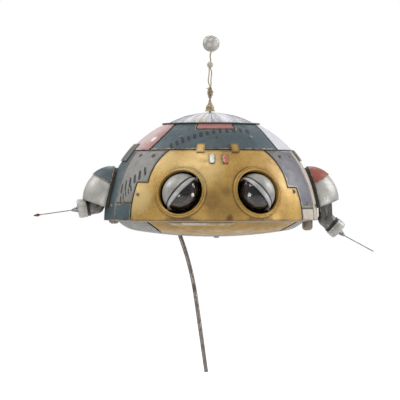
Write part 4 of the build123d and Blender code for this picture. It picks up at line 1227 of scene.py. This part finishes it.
class SAUCER_OT_antenna(bpy.types.Operator):
    """Make the antenna: bell foot, wound wire, twin wires, bead and lumpy ball"""
    bl_idname = "saucer.antenna"
    bl_label = "Antenna"

    def execute(self, context):
        sizes = context.scene.saucer_sizes
        base = Box("antenna_base")
        outline = sized(BELL, base.size.x / 2, base.size.z)
        bell = lathe("antenna_bell", outline, base.foot, UP, "brass", SMALL_ROUND)
        settle(bell, ["antenna_base"])
        self.windings(sizes.wire)
        self.strands()
        self.bead_and_ball(sizes.ball_lump)
        mast = frame["nodes"]["antenna_mast"].data
        mast.materials.clear()
        mast.materials.append(MATERIALS["brass"])
        return {"FINISHED"}

    def windings(self, radius):
        """Wire wound round the mast, with loose ends."""
        wrap = Box("antenna_wrap")
        rng = random.Random(WINDING_SEED)
        points = []
        count = WINDING_TURNS * WINDING_POINTS
        for k in range(count):
            share = k / (count - 1)
            away = WINDING_R[0] + WINDING_R[1] * math.sin(math.pi * share) ** 2 + rng.uniform(-0.05, 0.05)
            angle = 2 * math.pi * k / WINDING_POINTS
            flat = Vector((math.cos(angle), math.sin(angle), 0)) * away * MM
            points.append(wrap.foot + flat + UP * (radius + (wrap.size.z - 2 * radius) * share))
        parts = [wire("winding", points, radius, "brass", 2)]
        for k, (turn, up) in enumerate(TAILS):
            angle = math.radians(turn)
            start = wrap.foot + UP * wrap.size.z * up
            way = Vector((math.cos(angle), math.sin(angle), 0.5 if k % 2 else -0.35))
            tail = [start + way * out * MM + UP * lift * MM for out, lift in TAIL_POINTS]
            parts.append(wire(f"tail_{k}", tail, radius * 0.8, "brass", 2))
        settle(joined("antenna_winding", parts, "brass"), ["antenna_wrap"])

    def strands(self):
        """Two wires that bow apart between the bell and the bead."""
        box = Box("antenna_wires")
        radius = box.size.y / 2
        wander, sway = STRAND_WANDER
        parts = []
        for side in (-1, 1):
            points = []
            for k in range(STRAND_STEPS + 1):
                share = k / STRAND_STEPS
                bow = math.sin(math.pi * share) * (box.size.x / 2 - radius)
                bow += wander * MM * math.sin(9 * share + side)
                z = (box.size.z + 2 * STRAND_PAST * MM) * share - STRAND_PAST * MM
                place = Vector((side * bow, side * sway * MM * math.cos(6 * share), z))
                points.append(box.foot + place)
            parts.append(wire(f"strand_{side}", points, radius, "brass", 3))
        settle(joined("antenna_strands", parts, "brass"), ["antenna_wires"])

    def bead_and_ball(self, depth):
        """The knot, the ball on top and the wire between them."""
        bead, tip = Box("antenna_bead"), Box("antenna_ball")
        knot_r = bead.size.x / 2
        knot = lumpy_ball("antenna_knot", bead.middle, knot_r, KNOT_LUMP * MM, KNOT_SCALE, "bone")
        settle(knot, ["antenna_bead"])
        radius = tip.size.x / 2
        middle = Vector((tip.high.x - radius, tip.middle.y, tip.high.z - radius))
        foil = lumpy_ball("antenna_foil_ball", middle, radius, depth, BALL_SCALE, "silver")
        settle(foil, ["antenna_ball"])
        end = middle - UP * radius * 0.9
        points = []
        for k in range(STEM_STEPS + 1):
            sway = Vector((STEM_WANDER * MM * math.sin(k * 0.7), 0, 0))
            points.append(bead.middle.lerp(end, k / STEM_STEPS) + sway)
        settle(wire("antenna_tip_wire", points, STEM_R * MM, "brass", 3))


BEZEL_REACH = 30.0           # mm from an eye's axis, past which a point is on the other bezel
# the bezel's front, as shares of its width in from its outside and down from its top
BEZEL_FRONT = (
    (0, 0.32), (0.10, 0.16), (0.24, 0.10), (0.32, 0.24), (0.42, 0.24), (0.48, 0.06), (0.62, 0),
    (0.80, 0.05), (0.92, 0.18), (1, 0.42),
)
LENS_WALL = 1.3              # mm
LENS_STEPS = 26
# the iris disc, with a raised rim and a dished pupil, in mm
IRIS = (
    (0, 1.42), (12.4, 1.42), (12.7, 1.7), (12.3, 2.4), (11.6, 2.9), (10.8, 3.0), (10.0, 2.7), (5.6, 2.0),
    (4.9, 2.1), (4.4, 2.0), (4.0, 1.75), (0, 1.72),
)
LID_RADII = (15.7, 14.9, 16.15)     # mm: the lid's outside, inside and band
LID_STEP = 1.0               # mm


def dome_outline(radius, rim):
    """A dome's outline, from its rim at that height to its top."""
    start = math.asin(rim / radius)
    points = []
    for k in range(LENS_STEPS + 1):
        angle = start + (math.pi / 2 - start) * k / LENS_STEPS
        points.append((radius * math.cos(angle) if k < LENS_STEPS else 0, radius * math.sin(angle)))
    return points


class SAUCER_OT_eyes(bpy.types.Operator):
    """Make the bezels, glass lenses, irises and eyelids"""
    bl_idname = "saucer.eyes"
    bl_label = "Eyes"

    def execute(self, context):
        for side, _ in SIDES:
            eye = EyeFrame(side)
            self.bezel(side, eye)
            self.lens(side, eye)
            iris = lathe(f"{side}_iris", sized(IRIS, MM), eye.origin, eye.forward, f"{side}_iris", EYE_ROUND)
            settle(iris)
            shells = [ball(r * MM, eye.origin) for r in LID_RADII]
            worn_copy(f"{side}_eyelid", f"{side}_lid", shells, LID_STEP * MM, edge=0.12)
        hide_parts("eye_bezels")
        worn_copies(0.15, eye_cups="dark", eye_cells="eye_core", eye_pins="bone")
        return {"FINISHED"}

    def bezel(self, side, eye):
        low, high, inner, outer = spread("eye_bezels", eye.origin, eye.forward, BEZEL_REACH * MM)
        wide = outer - inner
        outline = [(inner, low), (outer, low)]
        outline += [(outer - across * wide, high - down * wide) for across, down in BEZEL_FRONT]
        item = lathe(f"{side}_bezel", outline, eye.origin, eye.forward, "gold", BEZEL_ROUND, closed=True)
        settle(item)

    def lens(self, side, eye):
        node = f"{side}_eye_lens"
        low, high, _, _ = spread(node, eye.origin, eye.forward)
        outline = dome_outline(high, low) + dome_outline(high - LENS_WALL * MM, low)[::-1]
        item = lathe(f"{side}_lens", outline, eye.origin, eye.forward, "glass", EYE_ROUND)
        mesh = bmesh.new()
        mesh.from_mesh(item.data)
        bmesh.ops.bridge_loops(mesh, edges=[edge for edge in mesh.edges if edge.is_boundary])
        bmesh.ops.remove_doubles(mesh, verts=mesh.verts, dist=MERGE)
        bmesh.ops.recalc_face_normals(mesh, faces=mesh.faces)
        mesh.to_mesh(item.data)
        mesh.free()
        smooth(item.data)
        settle(item, [node])


class SAUCER_OT_belly(bpy.types.Operator):
    """Make the belly pan, its gold front, the scuffed strip, the feet and the inner structure"""
    bl_idname = "saucer.belly"
    bl_label = "Belly"

    def execute(self, context):
        worn_copies(
            0.15, belly_pan="grey", belly_front="belly_gold", belly_strip="scuffed_strip",
            foot_stubs="umber", chassis_ring="umber", chassis_plate="silver", dome_liner="structure",
        )
        return {"FINISHED"}


class SAUCER_OT_rod(bpy.types.Operator):
    """Make the bent support rod, its socket and set screw"""
    bl_idname = "saucer.rod"
    bl_label = "Support rod"

    def execute(self, context):
        worn_copies(0.2, support_rod="steel", rod_socket="brass", rod_set_screw="steel")
        return {"FINISHED"}


POD_TILT = 19.5              # degrees above level that the pods point
POD_SET_IN = 2.4             # mm from the skin in to the pod's base
POD_DROP = 9.6               # mm from the base's middle down to the egg's centre
POD_RADII = (24.3, 20.8, 20.8)      # mm, along the way down and across it
POD_WALL = 1.6               # mm
POD_COARSER = 1.2            # times the small step
POD_TOP = (0.9, 0.1)         # mm over the pod, of the outside and inside of its coloured top


def pod_shell(side, grow):
    """The egg shape of a pod, grown by so many millimetres."""
    tilt = math.radians(POD_TILT)
    out = Vector((dict(SIDES)[side] * math.cos(tilt), 0, math.sin(tilt)))
    down = Vector((dict(SIDES)[side] * math.sin(tilt), 0, -math.cos(tilt)))
    middle = CENTRE + out * (SKIN_R - POD_SET_IN * MM) + down * POD_DROP * MM
    turn = Matrix((down, out.cross(down), out)).transposed()
    return Shell(middle, tuple((r + grow) * MM for r in POD_RADII), turn)


class SAUCER_OT_pods(bpy.types.Operator):
    """Make the side pods with their coloured tops and dark gaskets"""
    bl_idname = "saucer.pods"
    bl_label = "Pods"

    def execute(self, context):
        step = context.scene.saucer_sizes.small_step * POD_COARSER
        shells = [pod_shell(side, grow) for side, _ in SIDES for grow in (0, -POD_WALL)]
        worn_copy("pod_shells", "silver", shells, step)
        for side, material in (("left", "teal"), ("right", "pod_red")):
            shells = [pod_shell(side, grow) for grow in POD_TOP]
            worn_copy(f"{side}_pod_top", material, shells, step, edge=0.3)
        worn_copy("pod_gaskets", "dark", [pod_shell(side, 0) for side, _ in SIDES], step)
        return {"FINISHED"}


BARREL_UNDER_COLLAR = 0.7    # mm the barrel is thinner than its front band
BAND_WIDE = 2.4              # mm, black band at the barrel's front
BARREL_REAR_STEPS = 12
BARREL_GROOVES = (1.6, 3.4)  # mm past the pivot
CAP_GROOVES = (0.2, 0.32)    # shares of the cap's length
CAP_START_CUT = 0.4          # mm
CAP_END_CUT = 1.4
STRIP_ROUND = 62.0           # degrees from the barrel's side to its front
STRIP_START = -3.0           # mm along the barrel from its pivot
STRIP_END = 6.0
STRIP_R = 6.05               # mm from the barrel's axis to the strip's
STRIP_THICK = 0.55           # mm, the strip's radius
STRIP_STEPS = 8


GROOVE_DEEP = 0.3            # mm
GROOVE_HALF = 0.25           # mm, half its width at the top, and at its floor
FLOOR_HALF = 0.15


def groove(r, z):
    """Outline points of a shallow groove round a lathe piece, at height z."""
    floor = r - GROOVE_DEEP * MM
    top_half, low_half = GROOVE_HALF * MM, FLOOR_HALF * MM
    return [(r, z - top_half), (floor, z - low_half), (floor, z + low_half), (r, z + top_half)]


class Gun:
    """A needle gun: its body, its pivot and the way it aims."""

    def __init__(self, side):
        self.side = side
        self.body = body_of(f"{side}_gun_barrel")
        self.pivot = Vector(JOINTS[f"{side}_gun_tilt"]["pos_m"])
        self.aim = (Box(f"{side}_gun_cap").middle - self.pivot).normalized()

    def spread(self, part):
        return spread(f"{self.side}_gun_{part}", self.pivot, self.aim)

    def turned(self, part, outline, material, slot, nodes=()):
        """A lathe piece along the gun."""
        item = lathe(f"{self.side}_{part}", outline, self.pivot, self.aim, material)
        settle(item, nodes, self.body)

    def barrel(self):
        """A barrel with a round rear end and two grooves, and the black band at its front."""
        _, end, _, collar = self.spread("barrel")
        r = collar - BARREL_UNDER_COLLAR * MM
        neck = end - BAND_WIDE * MM
        outline = []
        for k in range(BARREL_REAR_STEPS + 1):
            angle = -math.pi / 2 + math.pi / 2 * k / BARREL_REAR_STEPS
            outline.append((r * math.cos(angle) if k else 0, r * math.sin(angle)))
        for place in BARREL_GROOVES:
            outline += groove(r, place * MM)
        outline += [(r, neck), (0, neck)]
        self.turned("barrel", outline, "gunmetal", "gunmetal", [f"{self.side}_gun_barrel"])
        outline = [(0, neck), (collar, neck)] + groove(collar, (neck + end) / 2) + [(collar, end), (0, end)]
        self.turned("barrel_band", outline, "dark", "gunmetal")

    def cap(self):
        start, end, _, r = self.spread("cap")
        cut, edge = CAP_START_CUT * MM, CAP_END_CUT * MM
        outline = [(0, start), (r - cut, start), (r, start + cut)]
        for share in CAP_GROOVES:
            outline += groove(r, start + (end - start) * share)
        outline += [(r, end - edge), (r - 0.4 * edge, end - 0.3 * edge), (r - edge, end), (0, end)]
        self.turned("cap", outline, "silver", "silver", [f"{self.side}_gun_cap"])

    def strip(self):
        """A bright strip let into the barrel's near side."""
        sideways = Vector((0, 1, 0)).cross(self.aim).normalized() * dict(SIDES)[self.side]
        around = math.radians(STRIP_ROUND)
        out = Vector((0, -1, 0)) * math.sin(around) + sideways * math.cos(around)
        points = []
        for k in range(STRIP_STEPS + 1):
            along = STRIP_START + (STRIP_END - STRIP_START) * k / STRIP_STEPS
            points.append(self.pivot + self.aim * along * MM + out * STRIP_R * MM)
        item = wire(f"{self.side}_barrel_strip", points, STRIP_THICK * MM, "silver", 6)
        settle(item, body=self.body)


class SAUCER_OT_guns(bpy.types.Operator):
    """Make the needle guns, their brackets and the dart"""
    bl_idname = "saucer.guns"
    bl_label = "Needle guns"

    def execute(self, context):
        worn_copies(0.2, gun_brackets="gunmetal", gun_pins="steel")
        for side, _ in SIDES:
            gun = Gun(side)
            gun.barrel()
            gun.cap()
            gun.strip()
            worn_copy(f"{side}_needle", "needle_steel", edge=0.06)
            if side == "left":
                worn_copy("needle_dart", "dart", edge=0.15)
        return {"FINISHED"}


# ---------------------------------------------------------------- stage
CAMERA_TURN = -4.5           # degrees round from straight ahead
CAMERA_AWAY = 2.0            # m
CAMERA_LENS = 225.0          # mm
SENSOR_WIDE = 36.0
AIM_LEFT = 8.8               # mm from the saucer's axis to the picture's middle
AIM_UP = 16.4
FLOOR_BELOW = 60.0           # mm under the rod's cut end
FLOOR_R = 7.0                # m
FLOOR_GLOW = 0.8             # brightness that only the camera sees, so that the floor stays pale
WORLD_LIT = 0.34
LIGHTS = (
    # name, azimuth, elevation, metres away, metres wide, watts, tint
    ("key_softbox", -28, 60, 0.9, 0.45, 2.0, (1.0, 0.98, 0.95)),
    ("left_glint", -33, -4, 0.9, 0.3, 1.8, (1.0, 1.0, 1.0)),
    ("right_glint", 58, -4, 0.9, 0.3, 2.1, (1.0, 1.0, 1.0)),
    ("right_softbox", 100, 30, 0.8, 0.5, 3.6, (0.97, 0.98, 1.0)),
    ("left_softbox", -110, 40, 0.8, 0.5, 2.8, (0.97, 0.98, 1.0)),
    ("top_softbox", 20, 84, 0.9, 0.6, 0.9, (1.0, 1.0, 1.0)),
    ("back_softbox", 175, 42, 1.1, 0.6, 2.6, (1.0, 1.0, 1.0)),
)


def aimed(name, data, place, way, axis):
    """Places a light or the camera, turned so that its axis points that way."""
    item = link_object(name, data)
    item.location = place
    item.rotation_mode = "QUATERNION"
    item.rotation_quaternion = way.to_track_quat(axis, "Y")
    return item


class SAUCER_OT_stage(bpy.types.Operator):
    """Make the pale floor, the studio lights and the camera"""
    bl_idname = "saucer.stage"
    bl_label = "Stage"

    def execute(self, context):
        self.floor()
        self.world(context)
        self.lights()
        self.camera(context)
        context.scene.view_settings.view_transform = "Standard"
        return {"FINISHED"}

    def floor(self):
        bench = start_material("floor_paper")
        grain = bench.cloud(bench.place(), 40.0, 3.0, 0.5)
        tint = bench.blend(grain, (0.93, 0.93, 0.93, 1), (0.97, 0.97, 0.97, 1))
        seen = bench.put("ShaderNodeLightPath").outputs["Is Camera Ray"]
        inputs = {
            "Base Color": tint, "Roughness": 0.9, "Emission Color": tint,
            "Emission Strength": bench.times(seen, FLOOR_GLOW),
        }
        end_material(bench, inputs, grain, 0.1, 0.2)
        mesh = bmesh.new()
        bmesh.ops.create_circle(mesh, cap_ends=True, segments=96, radius=FLOOR_R)
        bmesh.ops.translate(mesh, verts=mesh.verts, vec=(0, 0, -FLOOR_BELOW * MM))
        add_object("floor", to_data(mesh, "floor"), "floor_paper")

    def world(self, context):
        world = bpy.data.worlds.new("studio")
        world.use_nodes = True
        bench = Bench(world.node_tree)
        seen = bench.put("ShaderNodeBackground", None, {"Color": (1, 1, 1, 1), "Strength": 1.0})
        lit = bench.put("ShaderNodeBackground", None, {"Color": (0.95, 0.97, 1.0, 1), "Strength": WORLD_LIT})
        ray = bench.put("ShaderNodeLightPath").outputs["Is Camera Ray"]
        mixed = bench.put("ShaderNodeMixShader", None, {0: ray, 1: lit.outputs[0], 2: seen.outputs[0]})
        bench.put("ShaderNodeOutputWorld", None, {"Surface": mixed.outputs[0]})
        context.scene.world = world

    def lights(self):
        for name, az, el, away, size, power, tint in LIGHTS:
            lamp = bpy.data.lights.new(name, "AREA")
            lamp.shape = "SQUARE"
            lamp.size = size
            lamp.energy = power
            lamp.color = tint
            out = out_at(az, el)
            aimed(name, lamp, CENTRE + out * away, out, "Z")

    def camera(self, context):
        back = out_at(CAMERA_TURN, 0)
        target = CENTRE - Vector((-back.y, back.x, 0)) * AIM_LEFT * MM + UP * AIM_UP * MM
        data = bpy.data.cameras.new("camera")
        data.lens = CAMERA_LENS
        data.sensor_width = SENSOR_WIDE
        data.clip_start, data.clip_end = 0.05, 50.0
        context.scene.camera = aimed("camera", data, target + back * CAMERA_AWAY, -back, "-Z")


OPERATORS = (
    SAUCER_OT_finishes, SAUCER_OT_skin, SAUCER_OT_bars, SAUCER_OT_face_fittings, SAUCER_OT_screws,
    SAUCER_OT_cap, SAUCER_OT_antenna, SAUCER_OT_eyes, SAUCER_OT_belly, SAUCER_OT_rod, SAUCER_OT_pods,
    SAUCER_OT_guns, SAUCER_OT_stage,
)


class SAUCER_PT_build(bpy.types.Panel):
    """Lists the saucer's sizes, colours and pieces"""
    bl_idname = "SAUCER_PT_build"
    bl_label = "Saucer"
    bl_space_type = "VIEW_3D"
    bl_region_type = "UI"
    bl_category = "Saucer"

    def draw(self, context):
        for settings in (context.scene.saucer_sizes, context.scene.saucer_colours):
            box = self.layout.box()
            for key in settings.__annotations__:
                box.prop(settings, key)
        for operator in OPERATORS:
            self.layout.operator(operator.bl_idname)


CLASSES = (SaucerSizes, SaucerColours) + OPERATORS + (SAUCER_PT_build,)


def register():
    for item in CLASSES:
        bpy.utils.register_class(item)
    bpy.types.Scene.saucer_sizes = bpy.props.PointerProperty(type=SaucerSizes)
    bpy.types.Scene.saucer_colours = bpy.props.PointerProperty(type=SaucerColours)


def unregister():
    del bpy.types.Scene.saucer_colours
    del bpy.types.Scene.saucer_sizes
    for item in reversed(CLASSES):
        bpy.utils.unregister_class(item)


def main():
    register()
    for operator in OPERATORS:
        family, name = operator.bl_idname.split(".")
        getattr(getattr(bpy.ops, family), name)()


if __name__ == "__main__":
    main()
